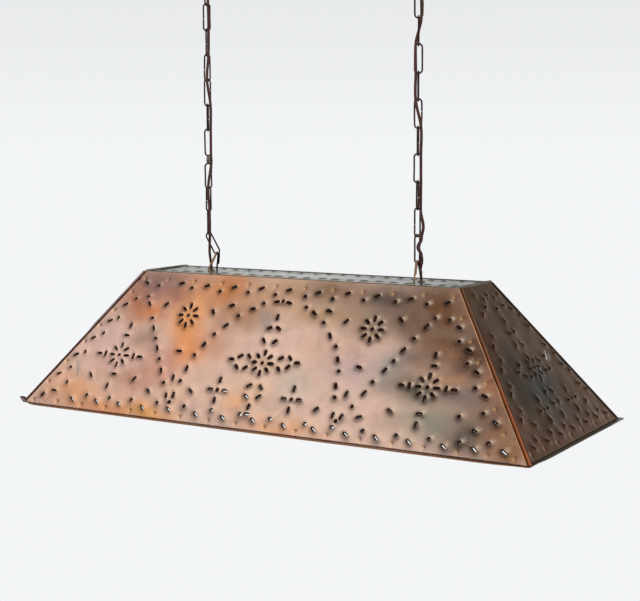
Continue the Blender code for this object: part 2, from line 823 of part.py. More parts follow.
def seam(name, side, facing, shade):
    """A folded strip round one sloping corner, with a crease along it."""
    long_level = SHADE_HEIGHT / LONG_SLOPE
    end_level = SHADE_HEIGHT / END_SLOPE
    off_end, off_long = GAP / end_level, GAP / long_level
    thick = SEAM_THICK
    section = [
        (-SEAM_FRONT_LEG, -off_long),
        (off_end, -off_long),
        (off_end, SEAM_END_LEG),
        (off_end + thick * 0.9, SEAM_END_LEG),
        (off_end + SEAM_CREASE, SEAM_END_LEG * 0.55),
        (off_end + thick, SEAM_END_LEG * 0.15),
        (off_end + thick * 0.6, -off_long - thick * 0.5),
        (-SEAM_FRONT_LEG, -off_long - thick * 0.5),
    ]
    mesh = bpy.data.meshes.new(name)
    shape = bmesh.new()
    foot = Vector((SHADE_LENGTH / 2, -SHADE_WIDTH / 2, SHADE_FOOT))
    flip = Matrix.Diagonal((side, -facing, 1, 1))
    base = Vector(shade["world"])
    ring = [shape.verts.new(flip @ (foot + Vector((x, y, 0))) - base) for x, y in section]
    face = shape.faces.new(ring)
    grown = bmesh.ops.extrude_face_region(shape, geom=[face])["geom"]
    raised = [part for part in grown if isinstance(part, bmesh.types.BMVert)]
    bmesh.ops.translate(shape, verts=raised, vec=flip @ CORNER_RUN)
    bmesh.ops.recalc_face_normals(shape, faces=shape.faces)
    shape.to_mesh(mesh)
    shape.free()
    item = add_object(name, mesh, SEAM_COPPER, 1.0, 0.4)
    place(item, shade, base)


def flange(shade):
    """The level rim that is folded out along the foot of the shade."""
    half, deep = SHADE_LENGTH / 2, SHADE_WIDTH / 2
    edge = [(-1, -1), (1, -1), (1, 1), (-1, 1)]
    outer = [(x * (half + FLANGE_OUT), y * (deep + FLANGE_OUT)) for x, y in edge]
    inner = [(x * (half - FLANGE_IN), y * (deep - FLANGE_IN)) for x, y in edge]
    item = add_object("bottom_flange", flat_outline("bottom_flange", [outer, inner], FLANGE_THICK), SEAM_COPPER)
    place(item, shade, (0, 0, SHADE_FOOT - GAP - FLANGE_THICK / 2))


# Flex


def flex_route(x, contacts, weave, entry_x, last_places, threaded):
    """The flex's middle line from the canopy down to the lampholder, through one link if told so."""
    hole = Vector((x + FLEX_HOLE_OUT, -FLEX_HOLE_OUT, 0))
    route = [
        hole + Vector((0, 0, -0.4 * CANOPY_HEIGHT)),
        hole + Vector((0, 0, CANOPY_BOTTOM - 0.003)),
    ]
    for k, (angle, reach) in enumerate(weave):
        turn = math.radians(angle)
        route.append(Vector((x + reach * math.cos(turn), reach * math.sin(turn), contacts[k])))
        if k == threaded:
            route.append(Vector((x, 0, (contacts[k] + contacts[k + 1]) / 2)))
    for across, back, height in last_places:
        route.append(Vector((across, back, height)))
    route.append(Vector((entry_x, ENTRY_BACK, TOP_SHEET + ENTRY_RISE)))
    route.append(Vector((entry_x, ENTRY_BACK, TOP_SHEET - NIPPLE_LENGTH)))
    return route


def flex(side, route, breaks, carriers):
    """The flex, cut at the heights where the chain turns, a piece for each body."""
    length = sum((b - a).length for a, b in zip(route, route[1:]))
    fine = smooth_curve(route, round(length / ROUTE_STEP))
    names = ("ceiling", "top_link", "chain", "last_link", "shade")
    tops = [10.0] + [height - CORD_BREAK for height in breaks]
    lows = [height + CORD_BREAK for height in breaks] + [-10.0]
    for name, high, low, carrier in zip(names, tops, lows, carriers):
        inside = [p for p in fine if low <= p.z <= high]
        count = max(3, round(len(inside) * ROUTE_STEP / (3 * CORD)))
        base = Vector(carrier["world"])
        points = [p - base for p in smooth_curve(inside, count)]
        label = f"flex_{side}_{name}"
        item = add_object(label, poly_curve(label, points, CORD, sides=2), FLEX_BROWN, 0.0, 0.45)
        place(item, carrier, base)


def build():
    """Makes the lamp from the ceiling down."""
    clear_scene()
    left, right = contacts_left(), contacts_right()
    crown = GAP / 2 + WIRE / 2
    tilt_height = HANGER_CONTACT - crown
    root = pivot("ceiling_body", (0, 0, 0))
    sides = {}
    for side, x, apex_x, contacts in (
        ("left", LEFT_CHAIN_X, LEFT_APEX_X, left),
        ("right", RIGHT_CHAIN_X, RIGHT_CHAIN_X, right),
    ):
        canopy(side, x, root)
        crossbar(side, x, root)
        ceiling_loop(side, x, root)
        top_link = pivot(f"top_link_{side}_pivot", (x, 0, LOOP_CROWN), root)
        middle = pivot(f"chain_{side}_pivot", (x, 0, contacts[1] - crown), top_link)
        last_link = pivot(f"last_link_{side}_pivot", (x, 0, contacts[-2] - crown), middle)
        sides[side] = {"top_link": top_link, "chain": middle, "last_link": last_link}
    shade = pivot("shade_pivot", (LEFT_APEX_X, 0, tilt_height), sides["left"]["last_link"])
    chain("left", left, LEFT_TWISTS, LEFT_CHAIN_X, LEFT_APEX_X, sides["left"])
    chain("right", right, RIGHT_TWISTS, RIGHT_CHAIN_X, RIGHT_CHAIN_X, sides["right"])
    hanger("left", -HANGER_HALF_SPACING, LEFT_APEX_X, 0.0, shade)
    hanger("right", HANGER_HALF_SPACING, RIGHT_CHAIN_X, RIGHT_HANGER_PLAY, shade)
    shade_sheets(shade)
    top_sheet(shade)
    flange(shade)
    seam("corner_seam_front_right", 1, -1, shade)
    seam("corner_seam_front_left", -1, -1, shade)
    seam("corner_seam_back_right", 1, 1, shade)
    seam("corner_seam_back_left", -1, 1, shade)
    for side, sign in (("left", -1), ("right", 1)):
        x = sign * ENTRY_OUT
        nipple(side, x, shade)
        lampholder(side, x, shade)
        carrier = pivot(f"bulb_{side}_pivot", (x, ENTRY_BACK, TOP_SHEET - HOLDER_DROP - HOLDER_LENGTH), shade)
        bulb(side, x, carrier)
    for side, x, contacts, weave, sign, last_places, threaded in (
        ("left", LEFT_CHAIN_X, left, LEFT_WEAVE, -1, LEFT_LAST_PLACES, None),
        ("right", RIGHT_CHAIN_X, right, RIGHT_WEAVE, 1, RIGHT_LAST_PLACES, THREADED_LINK),
    ):
        drop = contacts[-2] - HANGER_CONTACT
        places = [(x + dx, y, HANGER_CONTACT + share * drop) for dx, y, share in last_places]
        route = flex_route(x, contacts, weave, sign * ENTRY_OUT, places, threaded)
        breaks = [LOOP_CROWN, contacts[1] - crown, contacts[-2] - crown, tilt_height]
        bodies = sides[side]
        flex(side, route, breaks, [root, bodies["top_link"], bodies["chain"], bodies["last_link"], shade])


build()
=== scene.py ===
"""Looks of the pierced copper island lamp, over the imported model. Metres, +Z up."""
import math
import random

import bpy
from mathutils import Matrix, Vector, noise
from mathutils.geometry import delaunay_2d_cdt


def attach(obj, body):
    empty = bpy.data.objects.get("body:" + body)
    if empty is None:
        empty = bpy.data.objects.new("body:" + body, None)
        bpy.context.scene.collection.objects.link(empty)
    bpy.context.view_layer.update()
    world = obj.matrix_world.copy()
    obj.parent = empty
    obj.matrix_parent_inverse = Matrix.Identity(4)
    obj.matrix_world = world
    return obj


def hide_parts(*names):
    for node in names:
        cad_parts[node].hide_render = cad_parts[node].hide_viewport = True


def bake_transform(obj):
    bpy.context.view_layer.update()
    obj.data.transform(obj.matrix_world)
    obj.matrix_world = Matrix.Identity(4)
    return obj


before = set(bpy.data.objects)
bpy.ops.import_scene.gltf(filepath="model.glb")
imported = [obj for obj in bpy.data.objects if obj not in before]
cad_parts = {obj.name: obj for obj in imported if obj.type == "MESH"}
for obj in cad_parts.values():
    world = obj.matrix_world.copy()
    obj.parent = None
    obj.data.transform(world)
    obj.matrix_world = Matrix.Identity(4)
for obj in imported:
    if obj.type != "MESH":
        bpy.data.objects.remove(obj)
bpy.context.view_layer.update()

# Sizes, as in the part's source
SHADE_LENGTH, SHADE_WIDTH, SHADE_HEIGHT = 0.760, 0.3115, 0.183
TOP_LENGTH, TOP_WIDTH = 0.4885, 0.097
SHEET, SHEET_INSET, GAP = 0.0008, 0.0011, 0.0003
SHADE_FOOT, TOP_SHEET = -0.62815, -0.44515
LEFT_X, LEFT_APEX_X, RIGHT_X = -0.168, -0.155, 0.161
FITTING_X, FITTING_Y, HANGER_X = 0.166, 0.002, 0.162
HANGER_CONTACT = -0.41985
WIRE, LINK_WIDTH = 0.0023, 0.0116
LEFT_CONTACTS = (
    -0.04035, -0.07485, -0.10935, -0.14385, -0.17835, -0.21285, -0.24735,
    -0.28185, -0.29505, -0.32745, -0.35985, -0.39225, HANGER_CONTACT,
)
RIGHT_CONTACTS = tuple(-0.04035 - 0.0345 * k for k in range(12))
LEFT_TWISTS = (98, 20, 110, -5, 66, 135, 45, 130, 50, -15, 105, 0)
RIGHT_TWISTS = (98, 20, 115, 30, 120, 35, 125, 30, 130, 68, -20)
JOINER_PLACE = 7
LONG_RUN, END_RUN = (SHADE_WIDTH - TOP_WIDTH) / 2, (SHADE_LENGTH - TOP_LENGTH) / 2
LONG_SLOPE, END_SLOPE = math.hypot(LONG_RUN, SHADE_HEIGHT), math.hypot(END_RUN, SHADE_HEIGHT)

# Camera, fitted to the photograph
CAMERA_PLACE = (0.9246, -1.5092, -0.28105)
CAMERA_YAW, CAMERA_PITCH, CAMERA_ROLL = 0.54244, 0.11097, 0.00147
FOCAL_PIXELS, IMAGE_WIDTH, SENSOR_WIDTH = 1314.28, 640, 36
CAMERA_RIGHT = Vector((math.cos(CAMERA_YAW), math.sin(CAMERA_YAW), 0))


def add_object(name, data):
    """An object in the scene."""
    item = bpy.data.objects.new(name, data)
    bpy.context.scene.collection.objects.link(item)
    return item


def make_camera():
    """The photograph's camera."""
    data = bpy.data.cameras.new("photo_camera")
    data.sensor_fit = "HORIZONTAL"
    data.sensor_width = SENSOR_WIDTH
    data.lens = SENSOR_WIDTH * FOCAL_PIXELS / IMAGE_WIDTH
    data.clip_end = 100
    level, cosine, sine = math.cos(CAMERA_PITCH), math.cos(CAMERA_ROLL), math.sin(CAMERA_ROLL)
    forward = Vector((-CAMERA_RIGHT.y * level, CAMERA_RIGHT.x * level, -math.sin(CAMERA_PITCH)))
    down = forward.cross(CAMERA_RIGHT)
    turned = cosine * CAMERA_RIGHT + sine * down
    down = cosine * down - sine * CAMERA_RIGHT
    turn = Matrix((turned, -down, -forward)).transposed().to_4x4()
    camera = add_object("photo_camera", data)
    camera.matrix_world = Matrix.Translation(CAMERA_PLACE) @ turn
    bpy.context.scene.camera = camera
    bpy.context.scene.view_settings.view_transform = "Standard"


make_camera()


def clamp(value, low=0.0, high=1.0):
    """A value held between two others."""
    return min(max(value, low), high)


def polar(reach, turn):
    """The place at a distance and a turn."""
    return reach * math.cos(turn), reach * math.sin(turn)


def ripple(x, y, z):
    """Smooth noise at a place."""
    return noise.noise(Vector((x, y, z)))


# Materials

COAT_ROUGHNESS = 0.12


def tone(*levels):
    """A colour as it looks on screen, from 0 to 255, made linear."""
    shares = [level / 255 for level in levels]
    return Vector([x / 12.92 if x <= 0.04045 else ((x + 0.055) / 1.055) ** 2.4 for x in shares])


def set_inputs(tree, item, values):
    """A node's inputs: each is a number, a colour or another node's output."""
    for key, value in values.items():
        if isinstance(value, bpy.types.NodeSocket):
            tree.links.new(value, item.inputs[key])
        else:
            item.inputs[key].default_value = (*value, 1.0) if isinstance(value, Vector) else value


def node(tree, kind, values, **settings):
    """A new node with its settings and inputs."""
    made = tree.nodes.new(f"ShaderNode{kind}")
    for key, value in settings.items():
        setattr(made, key, value)
    set_inputs(tree, made, values)
    return made


def combine(tree, operation, first, second):
    """Two values worked together."""
    return node(tree, "Math", {0: first, 1: second}, operation=operation).outputs[0]


def spread(tree, value, low, high, to_low=0.0, to_high=1.0):
    """A value's range moved to another, held at both ends."""
    values = {0: value, 1: low, 2: high, 3: to_low, 4: to_high}
    return node(tree, "MapRange", values, interpolation_type="SMOOTHSTEP").outputs[0]


def cloud(tree, place, scale, detail, rough, warp=0.0, stretch=None):
    """Noise of a real scale, in waves to the metre."""
    if stretch:
        place = node(tree, "Mapping", {"Vector": place, "Scale": stretch}).outputs[0]
    values = {"Vector": place, "Scale": scale, "Detail": detail, "Roughness": rough, "Distortion": warp}
    return node(tree, "TexNoise", values).outputs[0]


def dressed(name, metallic, base, clouds, layers, rough, bumps, coat=0.0):
    """A material in the piece's own coordinates.

    base is a colour, or None for the mesh's own tint. clouds are noises by name. A layer is a cloud, or the
    mesh's lip, then the part of its range that counts, the strengths at the ends of that, and a colour. rough
    is a roughness, or clouds to add up, their range and the roughness at its ends. A bump is a cloud, a depth
    and a strength.
    """
    made = bpy.data.materials.new(name)
    made.use_nodes = True
    tree = made.node_tree
    shader = tree.nodes["Principled BSDF"]
    place = node(tree, "TexCoord", {}).outputs["Object"]
    heights = {key: cloud(tree, place, *settings) for key, settings in clouds.items()}
    if base is None:
        colour = node(tree, "Attribute", {}, attribute_name="tint").outputs["Color"]
        heights["lip"] = node(tree, "Attribute", {}, attribute_name="lip").outputs["Fac"]
    else:
        colour = tone(*base)
    for key, low, high, at_low, at_high, other in layers:
        values = {0: spread(tree, heights[key], low, high, at_low, at_high), 6: colour, 7: tone(*other)}
        colour = node(tree, "Mix", values, data_type="RGBA").outputs[2]
    if isinstance(rough, tuple):
        total = heights[rough[0][0]]
        for key in rough[0][1:]:
            total = combine(tree, "ADD", total, heights[key])
        rough = spread(tree, total, *rough[1:])
    normal = None
    for key, depth, strength in bumps:
        bump = {"Height": heights[key], "Distance": depth, "Strength": strength}
        if normal:
            bump["Normal"] = normal
        normal = node(tree, "Bump", bump).outputs[0]
    values = {"Base Color": colour, "Metallic": metallic, "Roughness": rough, "Normal": normal}
    set_inputs(tree, shader, {**values, "Coat Weight": coat, "Coat Roughness": COAT_ROUGHNESS})
    return made


def sheet_metal(name, flame, haze, rim, rough=(0.24, 0.36)):
    """Copper sheet: its broad tint comes from the mesh, its heat mottling and grain from noise."""
    clouds = {
        "broad": (11, 4, 0.55, 0.8),
        "middle": (42, 5, 0.6, 0.5),
        "fine": (420, 4, 0.6),
        "drawn": (260, 3, 0.5, 0.0, (0.16, 1.0, 1.0)),
    }
    layers = (
        ("broad", 0.54, 0.74, 0.0, 0.32, flame),
        ("broad", 0.26, 0.44, 0.24, 0.0, haze),
        ("middle", 0.54, 0.74, 0.0, 0.22, haze),
        ("middle", 0.26, 0.44, 0.18, 0.0, flame),
        ("fine", 0.66, 0.82, 0.0, 0.16, haze),
        # Paler metal at each cut's lip: fresh cut copper, and partly a painted highlight
        ("lip", 0.12, 0.85, 0.0, 0.3, rim),
    )
    bumps = (("middle", 0.0006, 0.18), ("drawn", 0.00008, 0.25), ("fine", 0.00003, 0.25))
    return dressed(name, 1.0, None, clouds, layers, (("middle", "fine"), 0.7, 1.3, *rough), bumps)


def worn_metal(name, base, worn, dark, metallic=1.0, rough=(0.3, 0.5), scale=60.0, depth=0.0001):
    """Metal with a tint that wanders, worn places and dark specks."""
    clouds = {"broad": (scale, 4, 0.55, 0.8), "fine": (scale * 9, 2, 0.5)}
    layers = (
        ("broad", 0.46, 0.68, 0.0, 1.0, worn),
        ("broad", 0.26, 0.44, 0.8, 0.0, dark),
        ("fine", 0.58, 0.74, 0.0, 0.16, dark),
    )
    bumps = (("fine", depth, 0.3), ("broad", depth * 4, 0.2))
    return dressed(name, metallic, base, clouds, layers, (("fine",), 0.3, 0.7, *rough), bumps)


def seam_metal(name):
    """Folded strips, coloured from the mesh, with cloudy wear and a fine grain."""
    clouds = {"broad": (40, 5, 0.6, 0.5), "fine": (500, 3, 0.6)}
    layers = (("broad", 0.5, 0.72, 0.0, 0.33, (120, 66, 34)), ("fine", 0.55, 0.75, 0.0, 0.2, (60, 38, 26)))
    bumps = (("broad", 0.0005, 0.3), ("fine", 0.00004, 0.3))
    return dressed(name, 1.0, None, clouds, layers, (("fine",), 0.3, 0.7, 0.26, 0.4), bumps)


def moulded(name, base, marked, roughness, coat=0.0):
    """Glass, glaze or plastic with a faint cloud in it."""
    clouds = {"broad": (70, 4, 0.55), "fine": (900, 3, 0.6)}
    layers = (("broad", 0.4, 0.7, 0.0, 1.0, marked),)
    return dressed(name, 0.0, base, clouds, layers, roughness, (("fine", 0.00004, 0.35),), coat)


COPPER_SHEET = sheet_metal("copper_sheet_patina", (214, 146, 96), (176, 160, 146), (255, 226, 196))
DARK_SHEET = sheet_metal("dark_copper_patina", (122, 76, 40), (80, 70, 50), (128, 104, 84), (0.28, 0.42))
GREY_SHEET = sheet_metal("grey_copper_patina", (196, 186, 162), (146, 152, 140), (190, 188, 172), (0.2, 0.32))
INSIDE = worn_metal("inside_copper", (78, 52, 38), (104, 68, 46), (40, 28, 22), 0.7, (0.4, 0.6), 30)
# Dark cut edges; on the nearly closed throats behind the cuts it also serves as painted shade
BURR = worn_metal("cut_edges", (62, 31, 22), (90, 48, 33), (30, 16, 12), 0.5, (0.5, 0.7), 200)
SEAM, RIM, HANGER = (seam_metal(name) for name in ("seam_copper_patina", "rim_copper", "hanger_copper"))
CANOPY = worn_metal("canopy_copper", (176, 116, 84), (206, 150, 112), (104, 66, 46), 1.0, (0.22, 0.4), 30)
BRONZE = worn_metal("link_bronze", (72, 52, 44), (136, 96, 76), (36, 27, 25), 0.9, (0.32, 0.44), 32, 2e-5)
JOINER = worn_metal("joiner_wire", (150, 122, 102), (186, 154, 128), (70, 52, 44), 0.9, (0.3, 0.45), 90, 5e-5)
BRASS = worn_metal("nipple_brass", (150, 142, 112), (176, 166, 132), (92, 82, 60), 1.0, (0.3, 0.45), 90)
HEM = worn_metal("hem_metal", (116, 108, 92), (150, 140, 120), (64, 56, 46), 1.0, (0.3, 0.45), 30)
CAP = worn_metal("cap_metal", (180, 176, 166), (208, 204, 194), (120, 116, 108), 1.0, (0.2, 0.36), 90)
STEEL = worn_metal("plated_strap", (170, 170, 168), (200, 200, 198), (112, 110, 106), 1.0, (0.25, 0.42))
FLEX = moulded("brown_flex", (92, 50, 42), (74, 38, 32), 0.42)
PORCELAIN = moulded("glazed_porcelain", (232, 228, 216), (220, 214, 200), 0.3, 0.6)
OPAL = moulded("opal_glass", (240, 237, 228), (232, 228, 216), 0.22, 0.5)

# Making and placing pieces


def new_piece(name, vertices, faces, material, body=None, nodes=(), smooth=40):
    """A mesh that rides on a body and stands for CAD nodes."""
    mesh = bpy.data.meshes.new(name)
    mesh.from_pydata(vertices, [], faces)
    mesh.materials.append(material)
    mesh.polygons.foreach_set("use_smooth", [True] * len(mesh.polygons))
    mesh.set_sharp_from_angle(angle=math.radians(smooth))
    item = add_object(name, mesh)
    if body:
        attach(item, body)
    if nodes:
        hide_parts(*nodes)
    return item


def paint(item, colours, lips=None):
    """Writes a colour, and how near a cut edge it is, at each vertex."""
    tint = item.data.attributes.new("tint", "FLOAT_COLOR", "POINT")
    tint.data.foreach_set("color", [part for colour in colours for part in (*colour, 1.0)])
    lip = item.data.attributes.new("lip", "FLOAT", "POINT")
    lip.data.foreach_set("value", lips or [0.0] * len(colours))


def smooth_route(points, step):
    """Evenly spaced places on a smooth curve through the given points."""
    points = [Vector(point) for point in points]
    ends = [points[0] * 2 - points[1], *points, points[-1] * 2 - points[-2]]
    fine = []
    for i in range(1, len(ends) - 2):
        a, b, c, d = ends[i - 1 : i + 3]
        bend, twist = 2 * a - 5 * b + 4 * c - d, 3 * b - a - 3 * c + d
        for k in range(40):
            t = k / 40
            fine.append(0.5 * (2 * b + (c - a) * t + bend * t**2 + twist * t**3))
    fine.append(points[-1])
    along = [0.0]
    for before, after in zip(fine, fine[1:]):
        along.append(along[-1] + (after - before).length)
    count = max(2, round(along[-1] / step))
    places = []
    at = 0
    for k in range(count + 1):
        goal = along[-1] * k / count
        while at < len(along) - 2 and along[at + 1] < goal:
            at += 1
        places.append(fine[at].lerp(fine[at + 1], (goal - along[at]) / (along[at + 1] - along[at])))
    return places


def ring_faces(count, sides, closed=False):
    """The faces between rings of places; an open run of rings gets a face at both ends."""
    faces = []
    for k in range(count if closed else count - 1):
        low, high = k * sides, (k + 1) % count * sides
        for j in range(sides):
            after = (j + 1) % sides
            faces.append((low + j, low + after, high + after, high + j))
    if not closed:
        faces.append(tuple(range(sides))[::-1])
        faces.append(tuple(range((count - 1) * sides, count * sides)))
    return faces


def tube(path, section, across=None, closed=False, turns=None, scales=None):
    """Vertices and faces of a section swept along a path; across fixes the section's first direction."""
    count = len(path)
    vertices = []
    side = None
    for k, here in enumerate(path):
        before = path[k - 1] if closed or k else here
        after = path[(k + 1) % count] if closed or k < count - 1 else here
        along = (after - before).normalized()
        if across is not None:
            side = Vector(across)
        elif side is None:
            side = Vector((0, 1, 0)) if abs(along.y) < 0.9 else Vector((1, 0, 0))
        side = (side - along * side.dot(along)).normalized()
        up = along.cross(side)
        turn = turns[k] if turns else 0.0
        size = scales[k] if scales else 1.0
        first = side * math.cos(turn) + up * math.sin(turn)
        second = up * math.cos(turn) - side * math.sin(turn)
        vertices += [here + (first * x + second * y) * size for x, y in section]
    return vertices, ring_faces(count, len(section), closed)


def circle(radius, sides=10):
    """A round section."""
    return [polar(radius, 2 * math.pi * k / sides) for k in range(sides)]


def lathe(name, profile, place, material, body, nodes, steps=48, smooth=35):
    """A closed profile of (radius, drop below the place) turned about an upright line."""
    vertices, rings = [], []
    for radius, drop in profile:
        around = circle(radius, steps) if radius else [(0, 0)]
        start = len(vertices)
        rings.append(list(range(start, start + steps)) if radius else [start] * steps)
        vertices += [Vector((place[0] + x, place[1] + y, place[2] - drop)) for x, y in around]
    faces = []
    for k, ring in enumerate(rings):
        after = rings[(k + 1) % len(rings)]
        if profile[k][0] or profile[(k + 1) % len(rings)][0]:
            for j in range(steps):
                n = (j + 1) % steps
                faces.append(list(dict.fromkeys([ring[j], ring[n], after[n], after[j]]))[::-1])
    return new_piece(name, vertices, faces, material, body, nodes, smooth)


# Flex: its route is the source's own

LEFT_ROUTE = (
    (-0.1592, -0.0088, -0.0080),
    (-0.1592, -0.0088, -0.0230),
    (-0.1638, -0.0042, -0.0404),
    (-0.1638, -0.0024, -0.0749),
    (-0.1636, -0.0020, -0.1094),
    (-0.1631, -0.0038, -0.1438),
    (-0.1657, -0.0040, -0.1784),
    (-0.1637, 0.0008, -0.2129),
    (-0.1632, 0.0000, -0.2474),
    (-0.1630, -0.0003, -0.2819),
    (-0.1630, 0.0000, -0.2950),
    (-0.1655, -0.0043, -0.3275),
    (-0.1635, -0.0045, -0.3598),
    (-0.1638, -0.0037, -0.3923),
    (-0.1646, -0.0034, -0.4074),
    (-0.1650, -0.0030, -0.4198),
    (-0.1660, 0.0020, -0.4392),
    (-0.1660, 0.0020, -0.4591),
)
RIGHT_ROUTE = (
    (0.1698, -0.0088, -0.0080),
    (0.1698, -0.0088, -0.0230),
    (0.1652, -0.0042, -0.0404),
    (0.1654, -0.0028, -0.0749),
    (0.1659, -0.0022, -0.1094),
    (0.1610, 0.0000, -0.1266),
    (0.1594, -0.0049, -0.1438),
    (0.1597, -0.0048, -0.1784),
    (0.1598, -0.0049, -0.2129),
    (0.1657, -0.0008, -0.2474),
    (0.1659, -0.0011, -0.2819),
    (0.1661, -0.0009, -0.3164),
    (0.1653, 0.0007, -0.3508),
    (0.1656, 0.0020, -0.3853),
    (0.1660, 0.0026, -0.4026),
    (0.1662, 0.0030, -0.4198),
    (0.1660, 0.0020, -0.4392),
    (0.1660, 0.0020, -0.4591),
)
WINDING = (
    (-0.352, 0.0, 0.0), (-0.374, 0.0034, -0.0010), (-0.389, 0.0028, -0.0061), (-0.400, -0.0020, -0.0058),
    (-0.410, 0.0022, -0.0064), (-0.417, 0.0018, -0.0040), (-0.431, -0.0010, -0.0012), (-0.440, 0.0, 0.0),
)
FLEX_LOBE, FLEX_LOBE_OUT = 0.00098, 0.00092
TOP_TURN, LOW_TURN = -0.0421, -0.42115
LEFT_TURNS = (TOP_TURN, -0.07615, -0.39355, LOW_TURN)
RIGHT_TURNS = (TOP_TURN, -0.07615, -0.38665, LOW_TURN)
FLEX_LOBE_TURN, FLEX_LOBE_SIDES = 118, 7
FLEX_STEP, FLEX_OVERLAP, FLEX_BEND, FLEX_SPLIT = 0.0012, 0.0007, 0.010, -0.23
WIND_START, WIND_MIDDLE, WIND_REACH = -0.335, -0.398, 0.026


def twin_section():
    """Two cores side by side with a groove between them."""
    points = []
    for side in (1, -1):
        for k in range(FLEX_LOBE_SIDES + 1):
            x, y = polar(FLEX_LOBE, math.radians(FLEX_LOBE_TURN * (2 * k / FLEX_LOBE_SIDES - 1)))
            points.append((side * (FLEX_LOBE_OUT + x), side * y))
    return points


def flex_turn(side, height):
    """How far the flex is twisted at a height: it shows its flat side, and winds near the right hanger."""
    turn = 0.35 * ripple(height * 18, 3.0 if side == "left" else 7.0, 0)
    if side == "right":
        turn += 0.5 * math.sin(max(WIND_START - height, 0.0) * 110)
    return turn


def flex_piece(name, side, path, scales, nodes):
    """One length of the flex as a mesh."""
    turns = [flex_turn(side, point.z) for point in path]
    vertices, faces = tube(path, twin_section(), CAMERA_RIGHT, turns=turns, scales=scales)
    return new_piece(name, vertices, faces, FLEX, None, nodes, 60)


def wound(point):
    """The flex's place low on the right, where it winds about the last links wider than its solid."""
    for (high, right_a, back_a), (low, right_b, back_b) in zip(WINDING, WINDING[1:]):
        if low <= point.z <= high:
            share = (1 - math.cos(math.pi * (high - point.z) / (high - low))) / 2
            right = right_a + (right_b - right_a) * share
            back = back_a + (back_b - back_a) * share
            return point + CAMERA_RIGHT * right + Vector((0, back, 0))
    return point


def make_flex(side, route, turns, loose, soft_tail):
    """The whole flex on one side, bent across each joint where the chain turns.

    loose is how much fuller it is where it winds. A tail that isn't soft stays with the shade.
    """
    path = smooth_route(route, FLEX_STEP)
    if side == "right":
        path = [wound(point) for point in path]
    top, chain, last = f"top_link_body_{side}", f"chain_body_{side}", f"last_link_body_{side}"
    middle, low = (turns[0] + turns[1]) / 2, (turns[2] + turns[3]) / 2
    spans = [
        ("upper", 1.0, middle, "ceiling", top, turns[0], ("ceiling", "top_link")),
        ("middle", middle, FLEX_SPLIT, top, chain, turns[1], ("chain",)),
        ("lower", FLEX_SPLIT, low if soft_tail else turns[3] - 0.0006, chain, last, turns[2], ("last_link",)),
        ("tail", low if soft_tail else turns[3] + 0.0005, -1.0, last, "shade", turns[3], ("shade",)),
    ]
    for label, high, floor, parent, child, at, ends in spans:
        inside = [point for point in path if floor - FLEX_OVERLAP <= point.z <= high + FLEX_OVERLAP]
        scales = [1 + loose * math.exp(-(((point.z - WIND_MIDDLE) / WIND_REACH) ** 4)) for point in inside]
        stiff = label == "tail" and not soft_tail
        if stiff:
            scales = [0.9 if point.z > turns[3] - 0.001 else 1.0 for point in inside]
        nodes = [f"flex_{side}_{end}" for end in ends]
        item = flex_piece(f"flex_{side}_{label}", side, inside, scales, nodes)
        if stiff:
            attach(item, child)
        else:
            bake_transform(item)


make_flex("left", LEFT_ROUTE, LEFT_TURNS, 0.0, True)
make_flex("right", RIGHT_ROUTE, RIGHT_TURNS, 0.16, False)

# Chains

LINK_ARC, LINK_SIDE = 13, 9
JOINER_WIDTH, JOINER_WIRE, JOINER_WINDS, JOINER_SLIDE, JOINER_TWIST = 0.0098, 0.0015, 2.6, 0.0046, 130


def link_path(reach, width, wire, taper, bow):
    """The middle line of one link in its own XZ plane; taper narrows its foot and bow swells its sides."""
    radius, half = (width - wire) / 2, reach / 2
    points = []
    for end in (1, -1):
        for k in range(LINK_ARC):
            x, z = polar(radius, math.pi * k / (LINK_ARC - 1))
            points.append((end * x, end * (half + z)))
        for k in range(1, LINK_SIDE + 1):
            share = k / (LINK_SIDE + 1)
            points.append((-end * (radius + bow * math.sin(math.pi * share)), end * half * (1 - 2 * share)))
    return [Vector((x * (1 - taper * (0.5 - z / (reach + width))), 0, z)) for x, z in points]


def make_link(name, top, bottom, twist, body, seed):
    """A link bent from one wire, whose ends meet half way down one side."""
    rng = random.Random(seed)
    bend = Vector((0, 0, LINK_WIDTH / 2 - WIRE - GAP / 2))
    upper, lower = Vector(top) - bend, Vector(bottom) + bend
    run = upper - lower
    path = link_path(run.length, LINK_WIDTH, WIRE, rng.uniform(-0.12, 0.16), rng.uniform(-0.0003, 0.0004))
    place = Matrix.Translation((upper + lower) / 2) @ Matrix.Rotation(math.atan2(run.x, run.z), 4, "Y")
    place = place @ Matrix.Rotation(math.radians(twist), 4, "Z")
    cut = LINK_ARC + LINK_SIDE // 2 + (0 if rng.random() < 0.5 else LINK_ARC + LINK_SIDE)
    line = path[cut + 1 :] + path[: cut + 1]
    line.append(line[-1].lerp(line[0], 0.84))
    vertices, faces = tube(line, circle(WIRE / 2), (0, 1, 0))
    vertices = [place @ vertex for vertex in vertices]
    new_piece(f"{name}_wire", vertices, faces, BRONZE, body, [name], 50)


def make_joiner(top, bottom):
    """A small wound wire that joins two lengths of the left chain."""
    steps, rise = 96, (top - bottom) / 2 - 0.0002
    path = []
    for k in range(steps + 1):
        turn = 2 * math.pi * JOINER_WINDS * k / steps
        reach = (JOINER_WIDTH - JOINER_WIRE) / 2 * (1 + 0.08 * math.sin(turn * 1.3))
        slide = (k / steps - 0.5) * JOINER_SLIDE
        path.append(Vector((reach * math.cos(turn), slide, rise * math.sin(turn))))
    twist = Matrix.Rotation(math.radians(JOINER_TWIST), 4, "Z")
    place = Matrix.Translation((LEFT_X, 0, (top + bottom) / 2)) @ twist
    vertices, faces = tube([place @ point for point in path], circle(JOINER_WIRE / 2, 8))
    name = "chain_joiner_left"
    new_piece(f"{name}_wire", vertices, faces, JOINER, "chain_body_left", [name])


